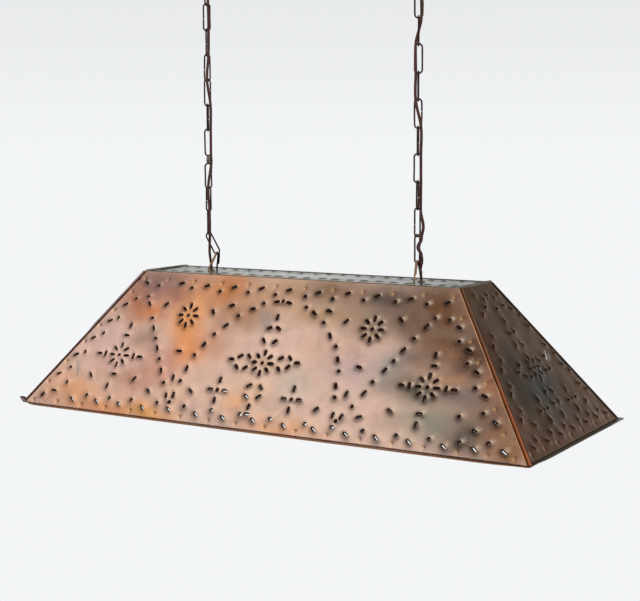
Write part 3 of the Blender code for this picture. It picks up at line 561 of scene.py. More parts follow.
def make_chain(side, contacts, twists, x, apex_x):
    """The links on one side, each on its own body as in the source."""
    number = 0
    last = len(twists) - 1
    for k, twist in enumerate(twists):
        if side == "left" and k == JOINER_PLACE:
            make_joiner(contacts[k], contacts[k + 1])
            continue
        if k in (0, last):
            label = "last_link" if k else "top_link"
            name, body = f"{label}_{side}", f"{label}_body_{side}"
        else:
            number += 1
            name, body = f"chain_link_{side}_{number}", f"chain_body_{side}"
        foot = (apex_x if k == last else x, 0, contacts[k + 1])
        make_link(name, (x, 0, contacts[k]), foot, twist, body, k + (side == "left") * 40)


make_chain("left", LEFT_CONTACTS, LEFT_TWISTS, LEFT_X, LEFT_APEX_X)
make_chain("right", RIGHT_CONTACTS, RIGHT_TWISTS, RIGHT_X, RIGHT_X)

# Hangers

HANGER_WIRE, HANGER_HALF_SPREAD, HANGER_FOOT, HANGER_ARCH = 0.0026, 0.010, 0.009, 0.0034
HANGER_STEP, STUB_RADIUS, STUB_SHIFT = 0.0009, 0.0010, (0.0019, 0.0006)
# The wire's front half is painted lit and its rear half painted in shade
HANGER_LIT_SIDE, HANGER_SHADED_SIDE, STUB_SHADED = tone(206, 168, 132), tone(78, 54, 44), tone(44, 32, 28)


def make_hanger(side, foot_x, apex_x, play):
    """A bent wire over the last link, doubled back on itself over its upper half."""
    under = TOP_SHEET - SHEET - 2 * GAP - HANGER_WIRE / 2
    knee = TOP_SHEET + 0.004
    shoulder = HANGER_CONTACT + GAP / 2 + play + HANGER_WIRE / 2 - HANGER_ARCH
    rise = shoulder - knee
    leg = [
        (HANGER_HALF_SPREAD + HANGER_FOOT, under),
        (HANGER_HALF_SPREAD + 0.0035, under),
        (HANGER_HALF_SPREAD + 0.0008, under + 0.0008),
        (HANGER_HALF_SPREAD, under + 0.0035),
        (HANGER_HALF_SPREAD, knee),
        (HANGER_HALF_SPREAD * 0.8, knee + 0.3 * rise),
        (HANGER_HALF_SPREAD * 0.55, knee + 0.68 * rise),
    ]
    arch = [(y, shoulder + z) for y, z in (polar(HANGER_ARCH, math.pi * k / 10) for k in range(11))]

    def sweep(name, shape, shift, section, nodes, colour):
        path = []
        for y, z in shape:
            path.append(Vector((foot_x + (apex_x - foot_x) * clamp((z - knee) / rise), y, z)))
        path = [point + shift for point in smooth_route(path, HANGER_STEP)]
        vertices, faces = tube(path, section, (1, 0, 0))
        item = new_piece(f"hanger_{side}_{name}", vertices, faces, HANGER, "shade", nodes, 60)
        # Painted light: lit at the front, in shade at the rear
        paint(item, [colour or (HANGER_LIT_SIDE if vertex.y < 0 else HANGER_SHADED_SIDE) for vertex in vertices])

    line = leg + arch + [(-out, up) for out, up in reversed(leg)]
    sweep("wire", line, Vector(), circle(HANGER_WIRE / 2 * 0.92, 12), [f"hanger_{side}"], None)
    # The front stub is painted lit and the back stub painted in shade
    for arm, label, colour in ((-1, "front", HANGER_LIT_SIDE), (1, "back", STUB_SHADED)):
        stub = [(arm * out, up) for out, up in (leg[5], leg[6], arch[1])]
        shift = Vector((STUB_SHIFT[0], arm * STUB_SHIFT[1], 0))
        sweep(f"stub_{label}", stub, shift, circle(STUB_RADIUS), (), colour)


make_hanger("left", -HANGER_X, LEFT_APEX_X, 0.0)
make_hanger("right", HANGER_X, RIGHT_X, 0.0005)

# Punched sheets. Marks are (across, up, angle) on the sheet, in millimetres and degrees.

TOP_DASHES = (
    (-172.5, 196), (-129, 194.5), (-84, 195), (-40, 195.5), (3, 195.5),
    (48, 194.5), (92, 196), (135, 195), (183, 193.5), (233.5, 191.5),
)
LOW_DASHES = (
    (-295, 12), (-252, 13), (-213, 13), (-172, 12), (-129, 14), (-84, 12), (-41, 11.5), (5, 13),
    (52, 11), (96, 11), (142, 10), (184, 10), (228, 10), (273, 10), (312, 11),
)
LONG_DASHES = (
    (-233, 194, -30),
    (-257.5, 158.5, 35), (-275.5, 132.5, 30), (-295, 105, 30), (-315, 77.5, 30), (-334, 47, 25),
    (-332, 21.5, 0),
    (-350, 13.5, 60),
    (257, 160, -25), (276, 132, -25), (293, 105, -30), (310, 76, -25), (331, 45, -30), (348.5, 12, -35),
    (307.5, 32.5, -30),
    (-216, 162, -55), (-196, 126.5, -60), (-179, 98, -65), (-161, 67, -65), (-139, 32.5, -70),
    (-127.5, 34, 90),
    (-120, 73, 80), (-104, 109, 65), (-79, 139, 45), (-44, 165, 20), (-10, 177.5, 5), (-137, 58.5, -80),
    (8, 177.5, -5), (51, 165, -35), (83, 136, -60), (103.5, 105, -70), (111, 70, -75), (118, 32, 85),
    (130, 31, 65), (152.5, 64.5, 60), (172, 97, 60), (190.5, 125, 55), (214, 158, 55), (129, 61, 80),
    (-263.5, 83, 90), (-214.5, 83, 90), (-274, 83, 0), (-204, 83, 0), (-243, 37, 78), (-238, 55, 0),
    (-238, 113, 0),
    (-236, 128, 75),
    (210.5, 80, 90), (259.5, 80, 90), (200, 80, 0), (270, 80, 0), (235, 122, 90), (237, 108, 0), (233, 46, 0),
    (232, 32, 82),
    (-2.5, 156, 85), (-9.5, 140, 20), (3.5, 140.5, -25), (-13, 122, -50), (4, 121.5, 45),
    (-42, 98, 40), (-28, 98.5, -45), (-43, 82.5, -35), (-29.5, 82.5, 35), (-54, 92.5, 0),
    (20.5, 100, 30), (34, 101, -45), (21, 85, -50), (34, 89, 45), (46, 95.5, 5),
    (-14.5, 58.5, 30), (3.5, 58, -50), (-14.5, 43.5, -35), (4, 45, 40), (-6, 30, 85), (-6, 20, 0),
    (-187, 163, 45), (177, 164.5, -40), (-106, 157, -60), (101, 157, 45), (-79, 168, 25), (72, 169.5, -15),
    (-141, 96.5, 0), (136, 97.5, -10), (-201, 51, 50), (193.5, 45.5, -35), (-171, 36, -40), (154, 33.5, 20),
    (-102, 42.5, -40), (92.5, 37, 45), (-277, 50, -50),
)
LONG_DOTS = (
    (-211, 190.5), (-154, 190), (-106, 187.5), (-60, 188.5), (-16, 187.5), (30, 188), (72, 187), (117, 188),
    (162, 188.5), (206, 188),
    (-243, 168.5), (-262.5, 138), (-280, 113), (-301, 83), (-317, 58), (-314, 35.5),
    (242, 169), (261, 142), (278, 115), (296, 85), (313, 55), (328, 20), (284, 48), (292, 17),
    (-272, 20), (-232, 20), (-194, 21), (-150, 21), (-105, 20.5), (-61, 20), (-16, 19), (30, 18), (82, 17),
    (121, 17), (164, 17), (210, 16), (253, 17),
    (-222, 173), (-204, 141.5), (-187, 112), (-170, 83), (-150, 50), (-131, 24), (-124, 55), (-114, 93),
    (-93, 125), (-64, 154), (-30, 174), (-1, 179),
    (36, 173), (69, 153), (96, 122), (109, 90), (114, 55), (124, 25), (141, 46), (160, 80), (181, 110),
    (201, 141), (222, 170),
)
LONG_DIMPLES = (
    *((u, 200.5) for u in (-240, -199, -154, -108, -64, -20, 25, 69, 112, 156, 199, 240)),
    (-256, 179), (-276, 150), (-292, 125), (-309, 98), (-329, 67), (-349, 34), (-365, 5),
    (257, 173), (276, 144), (292, 118), (308, 93), (326, 63), (344, 34), (362, 7),
    *((u, 6.5) for u in (-322, -278, -235, -192, -151, -109, -63, -20, 24, 70, 116, 162, 206, 248, 291, 329)),
)
LONG_FLOWERS = ((-144.5, 149), (141, 149), (-239, 83), (235, 80), (-5, 91))
LONG_CROSSES = ((-61, 48), (53, 46.5))

END_DASHES = (
    (12, 172, 80), (5, 155, -35), (19, 155, 35), (2, 138, 50), (20, 136, -50),
    (-25, 112, 30), (-37, 104, 0), (-24, 96, -30), (-12, 93, 20), (37, 110, -30), (52, 95, 30), (40, 95, -20),
    (58, 113, 0), (1, 70, 30), (20, 68, -50), (1, 53, -35), (19, 53, 40), (8, 36, 85),
    (-80, 38, -40), (95, 39, 40),
    (-117, 15, -35), (-74, 15, -35), (-31, 15, -35), (12, 15, -35), (57, 15, -35), (95, 15, -35),
    (128, 14, -35),
    (-60, 144, 40), (-74, 114, 40), (-90, 82, 40), (-105, 50, 40), (68, 158, -35), (80, 127, -35),
    (93, 95, -35),
    (106, 63, -35), (117, 53, -35), (-32, 188, 40), (-15, 196, 20), (12, 190, 10), (35, 193, -20),
    (52, 186, -40),
)
END_DOTS = (
    (-99, 22), (-53, 22), (-8, 22), (40, 22), (77, 22), (112, 22),
    (-45, 157), (-62, 125), (-79, 92), (-92, 60), (65, 175), (92, 112), (104, 84),
    (-23, 215), (-5, 207), (10, 212), (25, 206), (40, 210),
)
END_DIMPLES = tuple((y, 8) for y in (-132, -92, -52, -6, 32, 80, 118))
END_FLOWERS = ((12, 103),)
END_CROSSES = ((-34, 50), (60, 49))


# Scratches and stains: from, to, half width, colour and strength
SCRATCHES = {
    "front": (
        (294, 17, 309, 12, 0.5, (60, 50, 44), 0.8),
        (-309, 68, -302, 50, 1.8, (140, 150, 156), 0.55),
        (-352, 14, -344, 3, 0.5, (110, 60, 44), 0.7),
        (-344, 3, -336, 12, 0.5, (110, 60, 44), 0.6),
        (-354, 14, -346, 13, 2.2, (110, 34, 20), 0.7),
    ),
    "right_end": (
        (60, 107, 66, 113, 0.9, (255, 250, 244), 1.0),
        (66, 113, 71, 119, 0.7, (255, 250, 244), 1.0),
        (69, 105, 75, 112, 0.7, (240, 228, 216), 0.8),
    ),
}

# Places round a cut, and in millimetres half the least dash, half the sheet and where the painted highlight
# beside a cut lies
RING, DASH_HALF, HALF_SHEET, GLINT_SIDE = 14, 3.5, SHEET * 500, Vector((3.6, 2.4))
# Relief: the swell by a cut and its limit, its torn lip, a nail dent and the dome under a flower
SWELL, SWELL_LIMIT, TEAR, DENT, DOME = 1.6, 2.8, 0.34, 1.0, 0.7
LIP_RINGS, DENT_RINGS = (0.45, 1.1, 2.1, 3.6), (0.8, 1.6, 2.6)
DASH_LENGTH, DASH_WIDTH, DOT_SIZE = (8.8, 10.0), (4.5, 5.3), (5.3, 6.1)
FLOWER, CROSS = (8, 12.3, 1.9, 4), (4, 11.2, 3.0, 1)
# A nail dent's walls: a painted highlight on one, reddish painted shade on the other
NAIL_LIT_WALL, NAIL_SHADED_WALL, THROAT_SHADE = tone(255, 206, 140), tone(150, 56, 34), tone(40, 26, 18)


class Hole:
    """One cut: a rounded oblong with torn, raised edges."""

    POWER = 2.5

    def __init__(self, across, up, angle, length, width, lift):
        self.middle = Vector((across, up))
        self.along = Vector(polar(1, math.radians(angle)))
        self.side = Vector((-self.along.y, self.along.x))
        self.half = (length / 2, width / 2)
        self.lift = lift

    def ring(self, grow, long_share=1.0, wide_share=1.0, rng=None):
        """Places round the cut or a narrower opening, moved out by some millimetres, and ragged with rng."""
        found = []
        for k in range(RING):
            x, y = polar(1, 2 * math.pi * (k + 0.5) / RING)
            x = (self.half[0] * long_share + grow) * math.copysign(abs(x) ** (2 / self.POWER), x)
            y = (self.half[1] * wide_share + grow) * math.copysign(abs(y) ** (2 / self.POWER), y)
            ragged = 1 + (rng.uniform(-0.07, 0.05) if rng else 0)
            found.append(self.middle + (self.along * x + self.side * y) * ragged)
        return found

    def distance(self, point):
        """How far outside the cut's edge a place is, roughly."""
        off = point - self.middle
        x, y = abs(off.dot(self.along) / self.half[0]), abs(off.dot(self.side) / self.half[1])
        ratio = (x**self.POWER + y**self.POWER) ** (1 / self.POWER)
        return off.length * (1 - 1 / ratio) if ratio > 0.05 else -self.half[1]


def rosette(across, up, count, reach, longer, power):
    """Cuts that point away from a middle; the upright ones stand further out."""
    marks = []
    for k in range(count):
        turn = math.radians(360 / count * k)
        x, y = polar(reach + longer * abs(math.sin(turn)) ** power, turn)
        marks.append((across + x, up + y, 360 / count * k))
    return marks


def make_holes(dashes, dots, flowers, crosses, rng, mirror):
    """All the cuts of a sheet, each a little different; a flower or a cross has a nail hole in its middle."""
    dashes = list(dashes)
    for flower in flowers:
        dashes += rosette(*flower, *FLOWER)
    for cross in crosses:
        dashes += rosette(*cross, *CROSS)
    holes = []
    for across, up, angle in dashes:
        length, width = rng.uniform(*DASH_LENGTH), rng.uniform(*DASH_WIDTH)
        tilt = angle + rng.uniform(-5, 5)
        holes.append(Hole(mirror * across, up, mirror * tilt, length, width, rng.uniform(0.8, 1.2)))
    for across, up in (*dots, *flowers, *crosses):
        size = rng.uniform(*DOT_SIZE)
        holes.append(Hole(mirror * across, up, rng.uniform(0, 90), size, size * 0.92, rng.uniform(0.7, 1.1)))
    return holes


class Surface:
    """A sheet's relief in its own plane, in millimetres."""

    CELL = 20

    def __init__(self, outline, holes, dimples, domes, wave, seed, scratches=()):
        self.outline = [Vector(point) for point in outline]
        self.edges = list(zip(self.outline, self.outline[1:] + self.outline[:1]))
        self.scratches = [(Vector(row[:2]), Vector(row[2:4]), *row[4:]) for row in scratches]
        self.holes = holes
        self.dimples = [Vector(point) for point in dimples]
        self.domes = [Vector(point) for point in domes]
        self.wave = wave
        self.seed = seed
        self.cells = {}
        for hole in holes:
            self.cells.setdefault(self.cell(hole.middle), []).append(hole)

    def cell(self, point):
        """The square that a place lies in."""
        return int(point.x // self.CELL), int(point.y // self.CELL)

    def near(self, point):
        """The cuts close to a place."""
        x, y = self.cell(point)
        return [hole for i in (-1, 0, 1) for j in (-1, 0, 1) for hole in self.cells.get((x + i, y + j), [])]

    def marked(self, point, colour):
        """A colour changed by the scratches and stains over a place."""
        for start, end, wide, other, strength in self.scratches:
            run = end - start
            share = clamp((point - start).dot(run) / run.length_squared)
            off = (point - start - run * share).length / wide
            if off < 3:
                colour = colour.lerp(tone(*other), strength * math.exp(-(off**2)))
        return colour

    def inset(self, point):
        """How far inside the sheet's edge a place is."""
        return min((b - a).normalized().cross(point - a) for a, b in self.edges)

    def height(self, point):
        """Relief, and how near a place is to a cut's lip, its dark surround of painted shade, its side with a
        painted highlight, and a dent.
        """
        raised, sharp, lip, shade_halo, glint, dent, side = 0.0, 0.0, 0.0, 0.0, 0.0, 0.0, 0.0
        for hole in self.near(point):
            # glint: nearness to a spot up and to the right of each cut, where a highlight is painted
            glint = max(glint, math.exp(-(point - hole.middle - GLINT_SIDE).length_squared / 8))
            away = max(hole.distance(point), 0.0)
            raised += SWELL * hole.lift * math.exp(-((away + 1) ** 2) / 17)
            sharp = max(sharp, TEAR * hole.lift * math.exp(-away / 0.7))
            lip = max(lip, math.exp(-away / 0.6))
            # Painted shade round each cut
            shade_halo = max(shade_halo, math.exp(-((away / 2.6) ** 2)))
        raised = SWELL_LIMIT * (1 - math.exp(-raised / SWELL_LIMIT)) + sharp
        for dimple in self.dimples:
            off = (point - dimple).length_squared
            if off < 30:
                raised -= DENT * math.exp(-off / 4)
                # side: which wall of the dent a place is on, for its painted light and shade
                dent, side = math.exp(-off / 5), point.x - dimple.x
        for dome in self.domes:
            raised += DOME * math.exp(-((point - dome).length_squared) / 330)
        sway = ripple(point.x * 0.013, point.y * 0.016, self.seed)
        sway += 0.35 * ripple(point.x * 0.045, point.y * 0.05, self.seed + 9)
        return raised + self.wave * sway * clamp(self.inset(point) / 16), lip, shade_halo, glint, dent, side


def fill(surface, rng, spacing):
    """Triangles over the sheet, finer round each cut, with the cuts left open."""
    points, owners, edges = [], [], []

    def loop(places, owner):
        start = len(points)
        points.extend(places)
        owners.extend([owner] * len(places))
        edges.extend((start + k, start + (k + 1) % len(places)) for k in range(len(places)))
        return start

    def add(place, edge, margin, own=None):
        """Keeps a place that is far enough from the sheet's edge and from every cut but its own."""
        if surface.inset(place) < edge:
            return
        if all(hole is own or hole.distance(place) > margin for hole in surface.near(place)):
            points.append(place)
            owners.append(-1)

    border = []
    for a, b in surface.edges:
        steps = max(1, round((b - a).length / spacing))
        border += [a.lerp(b, k / steps) for k in range(steps)]
    loop(border, -1)
    starts = [loop(hole.ring(0.0, rng=rng), number) for number, hole in enumerate(surface.holes)]
    for hole in surface.holes:
        for grow in LIP_RINGS:
            for place in hole.ring(grow):
                add(place, 0.9, max(0.4, grow * 0.8), hole)
    for dimple in surface.dimples:
        add(dimple.copy(), 0.6, 0.5)
        for reach in DENT_RINGS:
            for k in range(8):
                add(dimple + Vector(polar(1, math.pi * (k + reach) / 4)) * reach, 0.6, 0.5)
    for start, end, wide, _, _ in surface.scratches:
        across = (end - start).orthogonal().normalized() * wide
        steps = max(2, round((end - start).length / 1.6))
        for k in range(steps + 1):
            for shift in (-1.3, 0, 1.3):
                add(start.lerp(end, k / steps) + across * shift, -math.inf, 0.5)
    corners = surface.outline
    low = Vector((min(p.x for p in corners), min(p.y for p in corners)))
    high = Vector((max(p.x for p in corners), max(p.y for p in corners)))
    for i in range(int((high.x - low.x) / spacing) + 1):
        for j in range(int((high.y - low.y) / spacing) + 1):
            add(low + Vector((i + 0.5 * (j % 2), j)) * spacing, spacing * 0.6, 4.6)
    flat, _, triangles, origins, *_ = delaunay_2d_cdt(points, edges, [], 1, 1e-4, True)
    owner = [owners[ids[0]] if ids else -2 for ids in origins]
    kept = []
    for triangle in triangles:
        kinds = {owner[i] for i in triangle}
        if len(kinds) == 1 and kinds.pop() >= 0:
            continue
        centre = sum((flat[i] for i in triangle), Vector((0, 0))) / 3
        if all(hole.distance(centre) >= -0.35 for hole in surface.near(centre)):
            kept.append(triangle)
    where = {number: new for new, ids in enumerate(origins) for number in ids}
    return flat, kept, [[where.get(start + k) for k in range(RING)] for start in starts]


def throat_share(hole):
    """How wide the opening behind a cut is: most are almost closed, so their dark throats show as painted
    shade in the cut, and the lowest rows let light through.
    """
    across, up = hole.middle
    if up < 24:
        return 0.28 if hole.half[0] > DASH_HALF else 0.46 if -75 < across < 135 else 0.12
    if 40 < up < 50 and (abs(across + 14.5) < 2 or abs(across + 50) < 2):
        return 0.24
    return 0.03


def punched_sheet(name, surface, matrix, tint, worn, material, slot, node_name, seed, spacing=5.0):
    """A sheet with its relief, its thickness and the metal driven in at each cut.

    matrix puts its middle in place. worn is the colour of a painted highlight on the raised side of each
    mark, and its strength at the left and at the right.
    """
    flat, triangles, loops = fill(surface, random.Random(seed), spacing)
    used = sorted({i for triangle in triangles for i in triangle})
    place = {old: new for new, old in enumerate(used)}
    count = len(used)
    outer, inner, extra, colours, lips, heights = [], [], [], [], [], []

    def spot(point, height):
        return matrix @ Vector((point.x / 1000, point.y / 1000, height / 1000))

    for i in used:
        point = flat[i]
        height, lip, shade_halo, glint, dent, side = surface.height(point)
        heights.append(height)
        outer.append(spot(point, height + HALF_SHEET))
        inner.append(spot(point, height - HALF_SHEET * (1 - 0.6 * lip)))
        right = clamp((point.x + 20) / 200)
        # Painted shade round each cut, deeper towards the right of the sheet
        colour = surface.marked(point, tint(point.x, point.y) * (1 - (0.10 + 0.14 * right) * shade_halo))
        # Painted highlight: a paler patch on the upper right side of each mark, stronger towards the right
        colour = colour.lerp(worn[0], glint * (worn[1] + (worn[2] - worn[1]) * right))
        # A nail dent: painted highlight on its left wall, reddish painted shade on its right
        nail = NAIL_LIT_WALL.lerp(NAIL_SHADED_WALL, clamp(0.4 + side / 2.4))
        colours.append(colour.lerp(nail, 0.8 * dent))
        lips.append(lip)
    faces, sides = [], set()
    for triangle in triangles:
        a, b, c = (place[i] for i in triangle)
        first, second, third = (flat[i] for i in triangle)
        if (second - first).cross(third - first) < 0:
            b, c = c, b
        faces.append((a, b, c))
        sides.update(((a, b), (b, c), (c, a)))
    throats, covered = [], set()
    for hole, loop in zip(surface.holes, loops):
        ring = [place.get(i) for i in loop]
        pairs = list(zip(ring, ring[1:] + ring[:1]))
        if None in ring or not all((b, a) in sides and (a, b) not in sides for a, b in pairs):
            continue
        share = throat_share(hole)
        deep = (0.78 if hole.half[0] > DASH_HALF else share, share)
        top = sum(heights[i] for i in ring) / RING + HALF_SHEET
        rows = [ring]
        for drop, grow, shares in ((0.9, 0.0, (0.90, 0.80)), (2.2, 0.0, deep), (2.3, 0.25, deep)):
            start = 2 * count + len(extra)
            extra += [spot(point, top - drop) for point in hole.ring(grow, *shares)]
            rows.append(list(range(start, start + RING)))
        rows.append([i + count for i in ring])
        for above, below in zip(rows, rows[1:]):
            for k in range(RING):
                after = (k + 1) % RING
                throats.append((above[k], above[after], below[after], below[k]))
        covered.update((b, a) for a, b in pairs)
    walls = [(b, a, a + count, b + count) for a, b in sides if (b, a) not in sides and (a, b) not in covered]
    walls.sort()
    backs = [(c + count, b + count, a + count) for a, b, c in faces]
    shell = faces + backs + walls + throats
    item = new_piece(name, outer + inner + extra, shell, material, "shade", [node_name], 42)
    item.data.materials.append(INSIDE)
    item.data.materials.append(BURR)
    index = [0] * len(faces) + [1] * len(backs) + [2] * (len(walls) + len(throats))
    item.data.polygons.foreach_set("material_index", index)
    paint(item, colours * 2 + [THROAT_SHADE] * len(extra), lips * 2 + [0.0] * len(extra))


def patches(base, places, seed):
    """A tint through soft patches, each (across, up, reach across, reach up, colour, strength)."""

    def tint(across, up):
        x, y = across * 0.018, up * 0.018
        drift = 14 * ripple(x, y, seed) + 5 * ripple(across * 0.06, up * 0.06, seed + 1)
        rise = 12 * ripple(x, up * 0.022, seed + 5) + 5 * ripple(across * 0.06, up * 0.07, seed + 6)
        colour = base
        for x, y, wide, tall, other, strength in places:
            off = ((across + drift - x) / wide) ** 2 + ((up + rise - y) / tall) ** 2
            if off < 9:
                colour = colour.lerp(tone(*other), strength * math.exp(-off))
        return colour * (1 + 0.10 * ripple(across * 0.05, up * 0.05, seed + 3))

    return tint


# Heat patina across the front; its dark patches towards the top and the right are also painted shade, for a
# dimmer reflection there
FRONT_TINT = patches(
    tone(240, 200, 178),
    (
        (296, 150, 52, 76, (124, 86, 62), 0.97),
        (336, 52, 42, 60, (146, 102, 78), 0.92),
        (-215, 198, 80, 24, (146, 106, 92), 0.95),
        (-178, 178, 28, 15, (166, 108, 94), 0.8),
        (-214, 180, 20, 12, (142, 112, 118), 0.6),
        (-245, 165, 30, 26, (186, 116, 86), 0.85),
        (-210, 150, 36, 18, (228, 140, 84), 0.9),
        (-140, 142, 28, 46, (255, 168, 96), 0.95),
        (-126, 104, 34, 26, (255, 166, 108), 0.9),
        (-90, 190, 52, 34, (208, 130, 74), 0.95),
        (-55, 152, 42, 20, (182, 130, 98), 0.85),
        (-85, 112, 26, 24, (206, 146, 114), 0.8),
        (-272, 108, 28, 26, (240, 200, 190), 0.9),
        (-208, 106, 26, 20, (180, 142, 120), 0.8),
        (-172, 96, 14, 14, (224, 188, 176), 0.7),
        (-170, 72, 36, 26, (232, 164, 144), 0.8),
        (-200, 46, 44, 20, (222, 158, 136), 0.75),
        (-258, 74, 36, 24, (255, 206, 188), 0.85),
        (-335, 38, 34, 30, (255, 203, 176), 0.95),
        (-300, 26, 40, 18, (252, 180, 130), 0.85),
        (-240, 4, 74, 14, (248, 166, 112), 0.85),
        (-162, 5, 48, 15, (255, 180, 112), 1.0),
        (-125, 38, 30, 20, (250, 200, 170), 0.8),
        (-14, 190, 50, 26, (208, 162, 126), 0.9),
        (-18, 148, 16, 14, (164, 152, 144), 0.75),
        (64, 200, 60, 24, (146, 112, 84), 0.95),
        (66, 164, 60, 13, (190, 150, 110), 0.85),
        (118, 150, 26, 18, (170, 136, 108), 0.7),
        (158, 194, 66, 34, (92, 80, 70), 0.98),
        (180, 160, 32, 26, (128, 104, 88), 0.9),
        (225, 180, 46, 50, (108, 74, 52), 0.98),
        (-8, 114, 44, 20, (255, 212, 192), 0.8),
        (-5, 90, 28, 9, (206, 164, 124), 0.7),
        (2, 60, 18, 14, (252, 202, 162), 0.75),
        (-32, 34, 28, 18, (255, 190, 146), 0.9),
        (45, 4, 60, 11, (248, 180, 134), 0.8),
        (52, 68, 34, 22, (222, 200, 182), 0.75),
        (80, 122, 44, 24, (226, 182, 160), 0.75),
        (130, 96, 34, 26, (210, 178, 172), 0.85),
        (182, 98, 22, 26, (164, 156, 150), 0.9),
        (140, 150, 14, 13, (132, 116, 92), 0.75),
        (208, 114, 24, 20, (134, 114, 104), 0.85),
        (238, 140, 32, 34, (122, 82, 56), 0.95),
        (276, 120, 30, 42, (94, 68, 54), 0.97),
        (226, 76, 48, 16, (106, 98, 84), 0.95),
        (254, 94, 24, 7, (196, 148, 120), 0.7),
        (286, 74, 30, 18, (146, 124, 114), 0.9),
        (312, 92, 12, 20, (166, 110, 78), 0.8),
        (246, 38, 42, 22, (150, 146, 128), 0.95),
        (298, 22, 34, 28, (90, 82, 72), 0.92),
        (326, 56, 26, 22, (130, 100, 84), 0.92),
        (350, 24, 24, 44, (156, 112, 82), 0.95),
        (200, 26, 30, 18, (204, 172, 150), 0.7),
    ),
    1.0,
)
BACK_TINT = patches(
    tone(214, 172, 150),
    (
        (-220, 170, 80, 50, (164, 112, 80), 0.85),
        (-120, 120, 40, 40, (176, 152, 138), 0.7),
        (-60, 60, 60, 30, (226, 180, 158), 0.6),
        (60, 185, 130, 24, (142, 114, 92), 0.85),
        (-250, 60, 50, 34, (200, 160, 146), 0.7),
        (240, 60, 70, 50, (146, 132, 116), 0.8),
        (-120, 14, 120, 16, (236, 164, 108), 0.85),
        (130, 130, 50, 40, (220, 154, 108), 0.7),
        (40, 110, 40, 30, (222, 186, 168), 0.6),
        (180, 20, 60, 20, (200, 150, 118), 0.6),
        (320, 30, 50, 60, (150, 106, 78), 0.8),
    ),
    12.0,
)
END_TINT = patches(
    tone(112, 80, 44),
    (
        (-10, 78, 74, 28, (42, 48, 42), 0.97),
        (-40, 118, 46, 26, (66, 52, 32), 0.88),
        (-60, 175, 20, 50, (112, 66, 38), 0.85),
        (10, 190, 40, 30, (116, 86, 58), 0.8),
        (0, 32, 84, 20, (72, 50, 32), 0.88),
        (0, 8, 180, 18, (108, 68, 44), 0.85),
        (70, 130, 28, 60, (128, 100, 76), 0.7),
        (-110, 40, 26, 40, (118, 72, 44), 0.85),
        (110, 40, 26, 40, (118, 82, 56), 0.7),
    ),
    30.0,
)
TOP_TINT = patches(
    tone(182, 184, 170),
    (
        (-170, -10, 40, 20, (138, 138, 112), 0.85),
        (-222, 0, 20, 30, (178, 160, 152), 0.7),
        (-70, -38, 70, 12, (212, 168, 128), 0.8),
        (0, 10, 80, 24, (226, 224, 214), 0.85),
        (-110, 24, 24, 16, (150, 168, 150), 0.8),
        (60, -14, 20, 14, (150, 158, 146), 0.7),
        (120, -34, 50, 10, (196, 162, 148), 0.7),
        (120, 12, 40, 40, (148, 150, 136), 0.85),
        (222, 0, 56, 80, (104, 100, 82), 0.95),
    ),
    44.0,
)


def sheet_outline(half_bottom, half_top, slope, run):
    """A sloping sheet's edge, drawn in from its corners as in the source, in millimetres."""
    inset = SHEET_INSET / math.sin(math.atan2(slope, half_bottom - half_top))
    low = SHEET * run / SHADE_HEIGHT
    wide = half_bottom - (half_bottom - half_top) * low / slope - inset
    narrow = half_top - inset
    corners = ((-wide, low), (wide, low), (narrow, slope), (-narrow, slope))
    return [(x * 1000, y * 1000) for x, y in corners]


def panel_place(facing, out, run):
    """Where a sloping sheet's middle plane lies; its own Y runs up the slope."""
    turn = Matrix.Rotation(math.radians(facing), 4, "Z")
    lean = turn @ Matrix.Rotation(math.atan2(SHADE_HEIGHT, run), 4, "X")
    foot = turn @ Vector((0, -out, 0)) + Vector((0, 0, SHADE_FOOT))
    return Matrix.Translation(foot - lean.to_3x3() @ Vector((0, 0, SHEET / 2))) @ lean


def make_sheets():
    """The four sloping sheets; the back mirrors the front, and the left end the right one."""
    rows = [(u, v, 25) for u, v in TOP_DASHES] + [(u, v, -38) for u, v in LOW_DASHES]
    long_marks = ([*LONG_DASHES, *rows], LONG_DOTS, LONG_FLOWERS, LONG_CROSSES)
    end_marks = (END_DASHES, END_DOTS, END_FLOWERS, END_CROSSES)
    long_edge = sheet_outline(SHADE_LENGTH / 2, TOP_LENGTH / 2, LONG_SLOPE, LONG_RUN)
    end_edge = sheet_outline(SHADE_WIDTH / 2, TOP_WIDTH / 2, END_SLOPE, END_RUN)
    # The first entry of each look is the painted highlight's colour and its strengths at the left and the
    # right
    long_look = ((tone(250, 220, 190), 0.34, 0.64), COPPER_SHEET, "copper_sheet")
    end_look = ((tone(150, 138, 118), 0.3, 0.3), DARK_SHEET, "dark_copper_sheet")
    long_kind = (long_marks, LONG_DIMPLES, long_edge, SHADE_WIDTH / 2, LONG_RUN, long_look)
    end_kind = (end_marks, END_DIMPLES, end_edge, SHADE_LENGTH / 2, END_RUN, end_look)
    plan = (
        ("front", 0, 1, FRONT_TINT, long_kind),
        ("back", 180, -1, BACK_TINT, long_kind),
        ("right_end", 90, 1, END_TINT, end_kind),
        ("left_end", 270, -1, END_TINT, end_kind),
    )
    for seed, (label, facing, mirror, tint, kind) in enumerate(plan, 1):
        marks, dimples, edge, out, run, look = kind
        holes = make_holes(*marks, random.Random(seed * 11), mirror)
        for hole in holes:
            share = clamp((mirror * hole.middle.x + 240) / 160)
            hole.lift *= 0.6 if kind is end_kind else 0.6 + 0.4 * share
            long, wide = (0.9, 0.8) if kind is end_kind else (1, 0.74 + 0.26 * share)
            hole.half = (hole.half[0] * long, hole.half[1] * wide)
        dimples, domes = ([(mirror * x, y) for x, y in places] for places in (dimples, marks[2]))
        surface = Surface(edge, holes, dimples, domes, 1.1, seed * 7.0, SCRATCHES.get(label, ()))
        place = panel_place(facing, out, run)
        punched_sheet(f"{label}_sheet", surface, place, tint, *look, f"{label}_panel", seed)


# The top sheet's two rows of cuts, each a place across it and a tilt, and its other holes, in millimetres
TOP_ROWS, TOP_COUNT, TOP_SPACING, HANGER_HOLE, NIPPLE_HOLE = ((-27, 30), (30, -30)), 22, 22, 3.4, 9.4


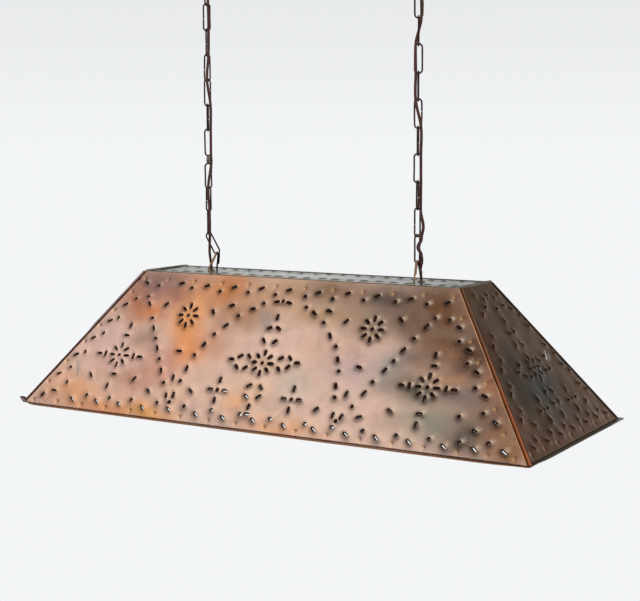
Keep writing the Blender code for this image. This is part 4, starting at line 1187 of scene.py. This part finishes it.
def make_top():
    """The level sheet, with the hanger and flex holes."""
    inset = 1.25 * SHEET + GAP
    half, deep = (TOP_LENGTH / 2 - inset) * 1000, (TOP_WIDTH / 2 - inset) * 1000
    rng = random.Random(77)
    holes = []
    for row, tilt in TOP_ROWS:
        for k in range(TOP_COUNT):
            across = (k - (TOP_COUNT - 1) / 2) * TOP_SPACING + rng.uniform(-2, 2)
            up, angle = row + rng.uniform(-2, 2), tilt + rng.uniform(-8, 8)
            holes.append(Hole(across, up, angle, rng.uniform(7, 8.4), 3.2, 0.7))
    for side in (-1000, 1000):
        for arm in (-1000, 1000):
            holes.append(Hole(side * HANGER_X, arm * HANGER_HALF_SPREAD, 0, HANGER_HOLE, HANGER_HOLE, 0.2))
        holes.append(Hole(side * FITTING_X, FITTING_Y * 1000, 0, NIPPLE_HOLE, NIPPLE_HOLE, 0.0))
    edge = [(-half, -deep), (half, -deep), (half, deep), (-half, deep)]
    surface = Surface(edge, holes, [], [], 0.9, 61.0)
    place = Matrix.Translation((0, 0, TOP_SHEET - SHEET / 2))
    # The first entry of the look is the painted highlight's colour and its strengths at the left and the
    # right
    look = ((tone(222, 224, 214), 0.2, 0.2), GREY_SHEET, "grey_copper_sheet")
    punched_sheet("top_sheet", surface, place, TOP_TINT, *look, "top_panel", 5)


make_sheets()
make_top()

# Corner seams, the bottom rim and the hem round the top

SEAM_END_LEG, SEAM_FRONT_LEG, SEAM_THICK, SEAM_STEPS, SEAM_CORNER = 0.0086, 0.0018, 0.0018, 64, 0.14
# The tones of the line along the front, its face, its edge, the flap's upper and lower ends and the fold. The
# pale line on the front right is a painted highlight, and the dark line on the front left painted shadow in
# the gap.
SEAM_TONES = {
    "front_right": (
        (238, 180, 136), (66, 36, 20), (120, 66, 30), (158, 98, 50), (214, 108, 26), (80, 40, 18),
    ),
    "front_left": (
        (50, 30, 24), (176, 128, 116), (120, 88, 82), (168, 156, 160), (168, 156, 160), (136, 122, 124),
    ),
    "back": ((84, 64, 50), (112, 86, 66), (116, 90, 70), (112, 90, 72), (112, 86, 66), (84, 66, 52)),
}


def make_seam(label, side, facing, lifted, seed):
    """A folded strip along one corner, uneven as hand work is; lifted turns out the flap's upper half."""
    tones = SEAM_TONES.get(label, SEAM_TONES["back"])
    # line: a painted highlight on the front right, painted shadow on the front left
    line, front, edge, high, low, fold = (tone(*levels) for levels in tones)
    out, back = GAP * END_SLOPE / SHADE_HEIGHT, -GAP * LONG_SLOPE / SHADE_HEIGHT
    reach, leg, thick = SEAM_FRONT_LEG, SEAM_END_LEG, SEAM_THICK
    if facing > 0:
        leg, thick = leg * 0.3, thick * 0.5
    elif side > 0:
        reach *= 1.15
    face = back - thick * 0.5
    section = (
        (-reach, back, line), (out, back, front),
        (out, leg, fold), (out + thick * 0.9, leg, fold),
        (out + thick * 0.95, leg * 0.92, fold), (out + thick * 0.55, leg * 0.84, fold),
        (out + thick, leg * 0.72, None), (out + thick, leg * 0.12, None),
        (out + thick * 0.8, face, edge), (out + thick * 0.35, face, front), (-reach * 0.15, face, front),
        (-reach * 0.38, back - thick * 0.46, line), (-reach, back - thick * 0.42, line),
    )
    foot = Vector((SHADE_LENGTH / 2, -SHADE_WIDTH / 2, SHADE_FOOT))
    run = Vector((-END_RUN, LONG_RUN, SHADE_HEIGHT))
    flip = Matrix.Diagonal((side, -facing, 1))
    vertices, colours = [], []
    for k in range(SEAM_STEPS + 1):
        share = k / SEAM_STEPS
        flap = low.lerp(high, clamp((share - 0.25) / 0.5))
        turn = math.radians(lifted) * clamp((share - 0.3) / 0.3)
        kink = 0.0004 * math.sin(share * 17 + seed) + 0.0005 * math.exp(-(((share - 0.42) / 0.03) ** 2))
        ring, tints = [], []
        for x, y, colour in section:
            if y > 0:
                x, y = x * math.cos(turn) + y * math.sin(turn), y * math.cos(turn) - x * math.sin(turn)
                y *= 1 - 0.05 * (1 + ripple(share * 9, 0, seed))
                x -= 0.0002 * (1 + ripple(share * 22, y * 300, seed + 2))
            elif x < 0:
                x += abs(kink)
            ring.append(flip @ (foot + run * share + Vector((x, y, 0))))
            tints.append((colour or flap) * (1 + 0.45 * ripple(share * 12, y * 200, seed + 4)))
        # Each corner is taken off
        for point, before, after, tint in zip(ring, ring[-1:] + ring[:-1], ring[1:] + ring[:1], tints):
            vertices += [point.lerp(before, SEAM_CORNER), point.lerp(after, SEAM_CORNER)]
            colours += [tint, tint]
    faces = ring_faces(SEAM_STEPS + 1, 2 * len(section))
    if side * facing > 0:
        faces = [corners[::-1] for corners in faces]
    name = f"seam_{label}"
    paint(new_piece(name, vertices, faces, SEAM, "shade", [f"corner_{name}"], 60), colours)


make_seam("front_right", 1, -1, 0, 1)
make_seam("front_left", -1, -1, 46, 2)
make_seam("back_right", 1, 1, 0, 3)
make_seam("back_left", -1, 1, 0, 4)


def ring_strip(name, rings, material, nodes):
    """A closed strip round the shade from rings of places, one ring for each place along it."""
    vertices = [place for ring in rings for place in ring]
    faces = [(a, d, c, b) for a, b, c, d in ring_faces(len(rings), len(rings[0]), True)]
    return new_piece(name, vertices, faces, material, "shade", nodes, 50)


def rectangle(half, deep, step, turns):
    """Places round a rectangle, each with its outward direction; turns rounds the corners."""
    corners = [Vector(place) for place in ((-half, -deep), (half, -deep), (half, deep), (-half, deep))]
    outs = [Vector(way) for way in ((0, -1), (1, 0), (0, 1), (-1, 0))]
    found = []
    for k in range(4):
        a, b = corners[k], corners[(k + 1) % 4]
        for i in range(turns):
            x, y = polar(1, (i + 0.5) / turns * math.pi / 2)
            found.append((a, outs[k - 1] * x + outs[k] * y))
        count = max(2, round((b - a).length / step))
        found += [(a.lerp(b, i / count), outs[k]) for i in range(1, count)]
    return found


def make_rim():
    """The rim folded out along the foot, with a rolled edge; one corner is snipped and one is curled up."""
    top = SHADE_FOOT - GAP
    section = (
        (-0.0020, 0.0), (0.0030, 0.0), (0.0070, -0.0001), (0.0088, 0.0), (0.0096, -0.0002), (0.0099, -0.0006),
        (0.0096, -0.0010), (0.0088, -0.0011), (0.0030, -0.0010), (-0.0020, -0.0010),
    )
    front_tone, end_tone = tone(132, 92, 58), tone(124, 112, 88)
    lip_tone, curl_tone = tone(186, 134, 88), tone(186, 164, 164)
    snipped, curled = (Vector((side * SHADE_LENGTH / 2, -SHADE_WIDTH / 2)) for side in (1, -1))
    rings, colours = [], []
    for place, out in rectangle(SHADE_LENGTH / 2, SHADE_WIDTH / 2, 0.006, 7):
        wave = ripple(place.x * 14, place.y * 14, 2.0)
        cut = 0.50 * math.exp(-(((place - snipped).length / 0.030) ** 2))
        cut += 0.30 * math.exp(-(((place - curled).length / 0.010) ** 2)) + 0.32 * out.x**4
        curl = math.exp(-(((place + out * 0.004 - curled).length / 0.012) ** 2))
        ring = []
        for reach, up in section:
            held = max(reach, 0)
            spot = place + out * (reach - held * min(0.04 * (1 + wave) + cut, 0.62))
            lift = curl * 0.0095 * (held / 0.0099) ** 2
            ring.append(Vector((spot.x, spot.y, top + up - 0.00005 * (1 - wave) + lift)))
            tint = front_tone.lerp(end_tone, out.x**2)
            tint = tint.lerp(lip_tone, 0.7 if reach > 0.008 and abs(out.x) < 0.7 else 0.0)
            colours.append(tint.lerp(curl_tone, 0.8 * curl) * (1 + 0.3 * wave))
        rings.append(ring)
    paint(ring_strip("foot_rim", rings, RIM, ["bottom_flange"]), colours)


def make_hem():
    """A narrow fold where the sloping sheets meet the top sheet, raised at the two ends."""
    rings = []
    for place, out in rectangle(TOP_LENGTH / 2 - SHEET, TOP_WIDTH / 2 - SHEET, 0.008, 2):
        wave = ripple(place.x * 20, place.y * 20, 8.0)
        lift, inward = 0.0016 * out.x**2 * (1 + 0.3 * wave), -0.0009 - 0.0014 * out.x**2
        ring = []
        for reach, up in (
            (inward, 0.0), (inward * 0.8, 0.0005), (0.0, 0.0006), (0.0008, 0.0001), (0.0010, -0.0012),
            (0.0004, -0.0008), (-0.0004, -0.0002),
        ):
            spot = place + out * reach
            ring.append(Vector((spot.x, spot.y, TOP_SHEET + GAP + up + (lift if up > 0 else 0))))
        rings.append(ring)
    ring_strip("top_hem", rings, HEM, ())


make_rim()
make_hem()

# Ceiling fittings, nipples, lampholders and bulbs. Profiles are (radius, drop below the piece's top).

CANOPY_RADIUS, CANOPY_HEIGHT, CANOPY_LIP, CANOPY_WALL, STEM = 0.032, 0.020, 0.0022, 0.0009, 0.0048
LOOP_RADIUS, LOOP_WIRE, LOOP_HEIGHT = 0.0085, 0.0032, -0.0336
GLASS_RADIUS, GLASS_MIDDLE, GLASS_WALL = 0.0298, 0.054, 0.0008
# How far each piece's top is below the top sheet
HOLDER_DROP, CAP_DROP, GLASS_DROP = 0.006, 0.021, 0.047


def make_ceiling_fittings(side, x):
    """Canopy, strap and loop at the ceiling."""
    name, wall, place = f"canopy_{side}", CANOPY_WALL, (x, 0, 0)
    outer = [(CANOPY_RADIUS, 0.0001), (CANOPY_RADIUS, 0.0014), (CANOPY_RADIUS * 0.985, CANOPY_LIP)]
    for k in range(1, 14):
        out, down = polar(1, math.pi / 2 * k / 14)
        drop = CANOPY_LIP + (CANOPY_HEIGHT - CANOPY_LIP) * down
        outer.append((CANOPY_RADIUS * (0.20 + 0.78 * out**0.8), drop))
    outer.append((STEM + GAP, CANOPY_HEIGHT))
    inner = [(max(radius - wall, STEM + GAP), max(drop - wall, 0.0001)) for radius, drop in reversed(outer)]
    lathe(f"{name}_cup", outer + inner, place, CANOPY, "ceiling", [name], 64)
    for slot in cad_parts[f"crossbar_{side}"].material_slots:
        slot.material = STEEL
    low = CANOPY_HEIGHT + GAP
    profile = [(0.0, 0.0024), (STEM, 0.0024), (STEM, low)]
    for radius, drop in (
        (0.0072, 0.0), (0.0080, 0.0006), (0.0080, 0.0030), (0.0070, 0.0040),
        (0.0044, 0.0046), (0.0030, 0.0058), (0.0, 0.0060),
    ):
        profile.append((radius, low + drop))
    nodes = [f"ceiling_loop_{side}"]
    lathe(f"loop_{side}_stem", profile, place, BRONZE, "ceiling", nodes, 40)
    path = [Vector((x + out, 0, LOOP_HEIGHT + up)) for out, up in circle(LOOP_RADIUS, 40)]
    vertices, faces = tube(path, circle(LOOP_WIRE / 2, 12), (0, 1, 0), True)
    new_piece(f"loop_{side}_ring", vertices, faces, BRONZE, "ceiling", (), 60)


def make_lamp_fittings(side, x):
    """What hangs inside the shade on one side."""
    profile = [(0.0046, -0.0012), (0.0050, -0.0009), (0.0051, 0.0), (0.0045, 0.0)]
    profile += [(0.0045 if k % 2 else 0.0042, 0.0012 + 0.0008 * k) for k in range(13)]
    profile += [(0.0045, 0.0143), (0.0026, 0.0143), (0.0026, -0.0012)]
    place = (x, FITTING_Y, TOP_SHEET + GAP)
    lathe(f"nipple_{side}", profile, place, BRASS, "shade", [f"cord_nipple_{side}"], 32)
    profile = (
        (0.0092, 0.0), (0.0104, 0.0008), (0.0150, 0.0064), (0.0160, 0.0084), (0.0163, 0.011), (0.0163, 0.018),
        (0.0156, 0.019), (0.0163, 0.020), (0.0163, 0.042), (0.0156, 0.043), (0.0163, 0.044), (0.0163, 0.0468),
        (0.0155, 0.048), (0.0138, 0.048), (0.0133, 0.0472), (0.0133, 0.009), (0.0085, 0.003), (0.0048, 0.003),
        (0.0048, 0.0),
    )
    place = (x, FITTING_Y, TOP_SHEET - HOLDER_DROP)
    lathe(f"holder_{side}", profile, place, PORCELAIN, "shade", [f"lampholder_{side}"], 48, 30)
    body = f"bulb_body_{side}"
    profile = [(0.0, 0.0), (0.0056, 0.0), (0.0062, 0.0008), (0.0108, 0.0042)]
    profile += [(0.01245 + 0.00042 * math.cos(k * math.pi / 2), 0.0052 + 0.0009 * k) for k in range(22)]
    profile += [(0.0129, 0.026), (0.0123, 0.026), (0.0117, 0.005), (0.0053, 0.001), (0.0, 0.001)]
    place = (x, FITTING_Y, TOP_SHEET - CAP_DROP)
    lathe(f"cap_{side}", profile, place, CAP, body, [f"bulb_cap_{side}"], 40, 60)
    outer = [(0.0126, 0.0), (0.0127, 0.0040), (0.0131, 0.0090), (0.0144, 0.0155), (0.0172, 0.0225)]
    for k in range(21):
        out, up = polar(GLASS_RADIUS, math.radians(52 - 142 * k / 21))
        outer.append((out, GLASS_MIDDLE - up))
    outer.append((0.0, GLASS_MIDDLE + GLASS_RADIUS))
    inner = []
    for k, (radius, drop) in enumerate(outer):
        inner.append((max(radius - GLASS_WALL, 0.0), max(drop - (GLASS_WALL if k > 20 else 0), 0.0)))
    place = (x, FITTING_Y, TOP_SHEET - GLASS_DROP - GAP)
    lathe(f"glass_{side}", outer + inner[::-1], place, OPAL, body, [f"bulb_{side}"], 48, 60)


for side, x in (("left", LEFT_X), ("right", RIGHT_X)):
    make_ceiling_fittings(side, x)
for side, x in (("left", -FITTING_X), ("right", FITTING_X)):
    make_lamp_fittings(side, x)

# Studio

BACKGROUND, FLOOR, ROOM_TINT = tone(243, 245, 247), tone(236, 238, 240), Vector((0.94, 0.97, 1.0))
ROOM, ROOM_OVERHEAD, ROOM_BACKDROP, ROOM_LIGHT = 0.33, 1.0, 0.56, 0.6
OVERHEAD_AIM = (-0.30, -0.42, 0.86)
FLOOR_HALF, FLOOR_HEIGHT = 40, -2.3
SHADE_MIDDLE = (0, 0, -0.53)


def rays(tree, *kinds):
    """1 for a ray of any of these kinds."""
    found, *others = (node(tree, "LightPath", {}).outputs[f"Is {kind} Ray"] for kind in kinds)
    for other in others:
        found = combine(tree, "MAXIMUM", found, other)
    return found


def glow(tree, kind, colour, strength):
    """A background or an emission of one colour."""
    return node(tree, kind, {"Color": colour, "Strength": strength}).outputs[0]


def mix_shaders(tree, share, first, second):
    """Two shaders mixed by a share."""
    return node(tree, "MixShader", {0: share, 1: first, 2: second}).outputs[0]


def make_world():
    """A pale even room: brightest overhead and at the backdrop, dimmer to the sides."""
    world = bpy.data.worlds.new("studio")
    bpy.context.scene.world = world
    world.use_nodes = True
    tree = world.node_tree
    tree.nodes.clear()
    aim = node(tree, "TexCoord", {}).outputs["Generated"]
    part = node(tree, "SeparateXYZ", {0: aim}).outputs
    above = node(tree, "VectorMath", {0: aim, 1: OVERHEAD_AIM}, operation="DOT_PRODUCT").outputs[1]
    overhead = spread(tree, above, 0.72, 0.97, ROOM, ROOM_OVERHEAD)
    low = spread(tree, part["Z"], 0.12, 0.38, ROOM_BACKDROP, 0.0)
    horizon = combine(tree, "MULTIPLY", low, spread(tree, part["Y"], -0.1, 0.35))
    mirrored = glow(tree, "Background", BACKGROUND, combine(tree, "ADD", overhead, horizon))
    light = glow(tree, "Background", ROOM_TINT, ROOM_LIGHT)
    backdrop = glow(tree, "Background", BACKGROUND, spread(tree, part["Z"], -0.02, 0.13, 1.0, 0.90))
    unseen = mix_shaders(tree, rays(tree, "Glossy"), light, mirrored)
    shown = mix_shaders(tree, rays(tree, "Camera", "Transmission"), unseen, backdrop)
    node(tree, "OutputWorld", {"Surface": shown})


def make_floor():
    """A pale floor far below; it takes the lamp's shadow, and far out it fades into the background."""
    mesh = bpy.data.meshes.new("floor")
    corners = [(x * FLOOR_HALF, y * FLOOR_HALF, 0) for x, y in ((-1, -1), (1, -1), (1, 1), (-1, 1))]
    mesh.from_pydata(corners, [], [(0, 1, 2, 3)])
    floor = add_object("floor", mesh)
    floor.location.z = FLOOR_HEIGHT
    made = bpy.data.materials.new("pale_floor")
    made.use_nodes = True
    tree = made.node_tree
    tree.nodes.clear()
    place = node(tree, "TexCoord", {}).outputs["Object"]
    reach = node(tree, "VectorMath", {0: place}, operation="LENGTH").outputs["Value"]
    seeing = rays(tree, "Camera", "Glossy", "Transmission")
    far = combine(tree, "MULTIPLY", spread(tree, reach, 1.2, 3.2), seeing)
    plain = node(tree, "BsdfDiffuse", {"Color": FLOOR}).outputs[0]
    strength = spread(tree, rays(tree, "Glossy"), 0, 1, 1.0, 0.5)
    mixed = mix_shaders(tree, far, plain, glow(tree, "Emission", BACKGROUND, strength))
    node(tree, "OutputMaterial", {"Surface": mixed})
    mesh.materials.append(made)


def softbox(name, place, aim, size, power):
    """A square soft light aimed at a place, hidden from the camera and from reflections."""
    data = bpy.data.lights.new(name, "AREA")
    data.shape = "RECTANGLE"
    data.size = data.size_y = size
    data.energy = power
    item = add_object(name, data)
    item.location = place
    item.rotation_euler = (Vector(aim) - Vector(place)).to_track_quat("-Z", "Y").to_euler()
    item.visible_camera = item.visible_glossy = False


make_world()
make_floor()
softbox("key", (0.1, -0.9, 1.5), SHADE_MIDDLE, 1.2, 13)
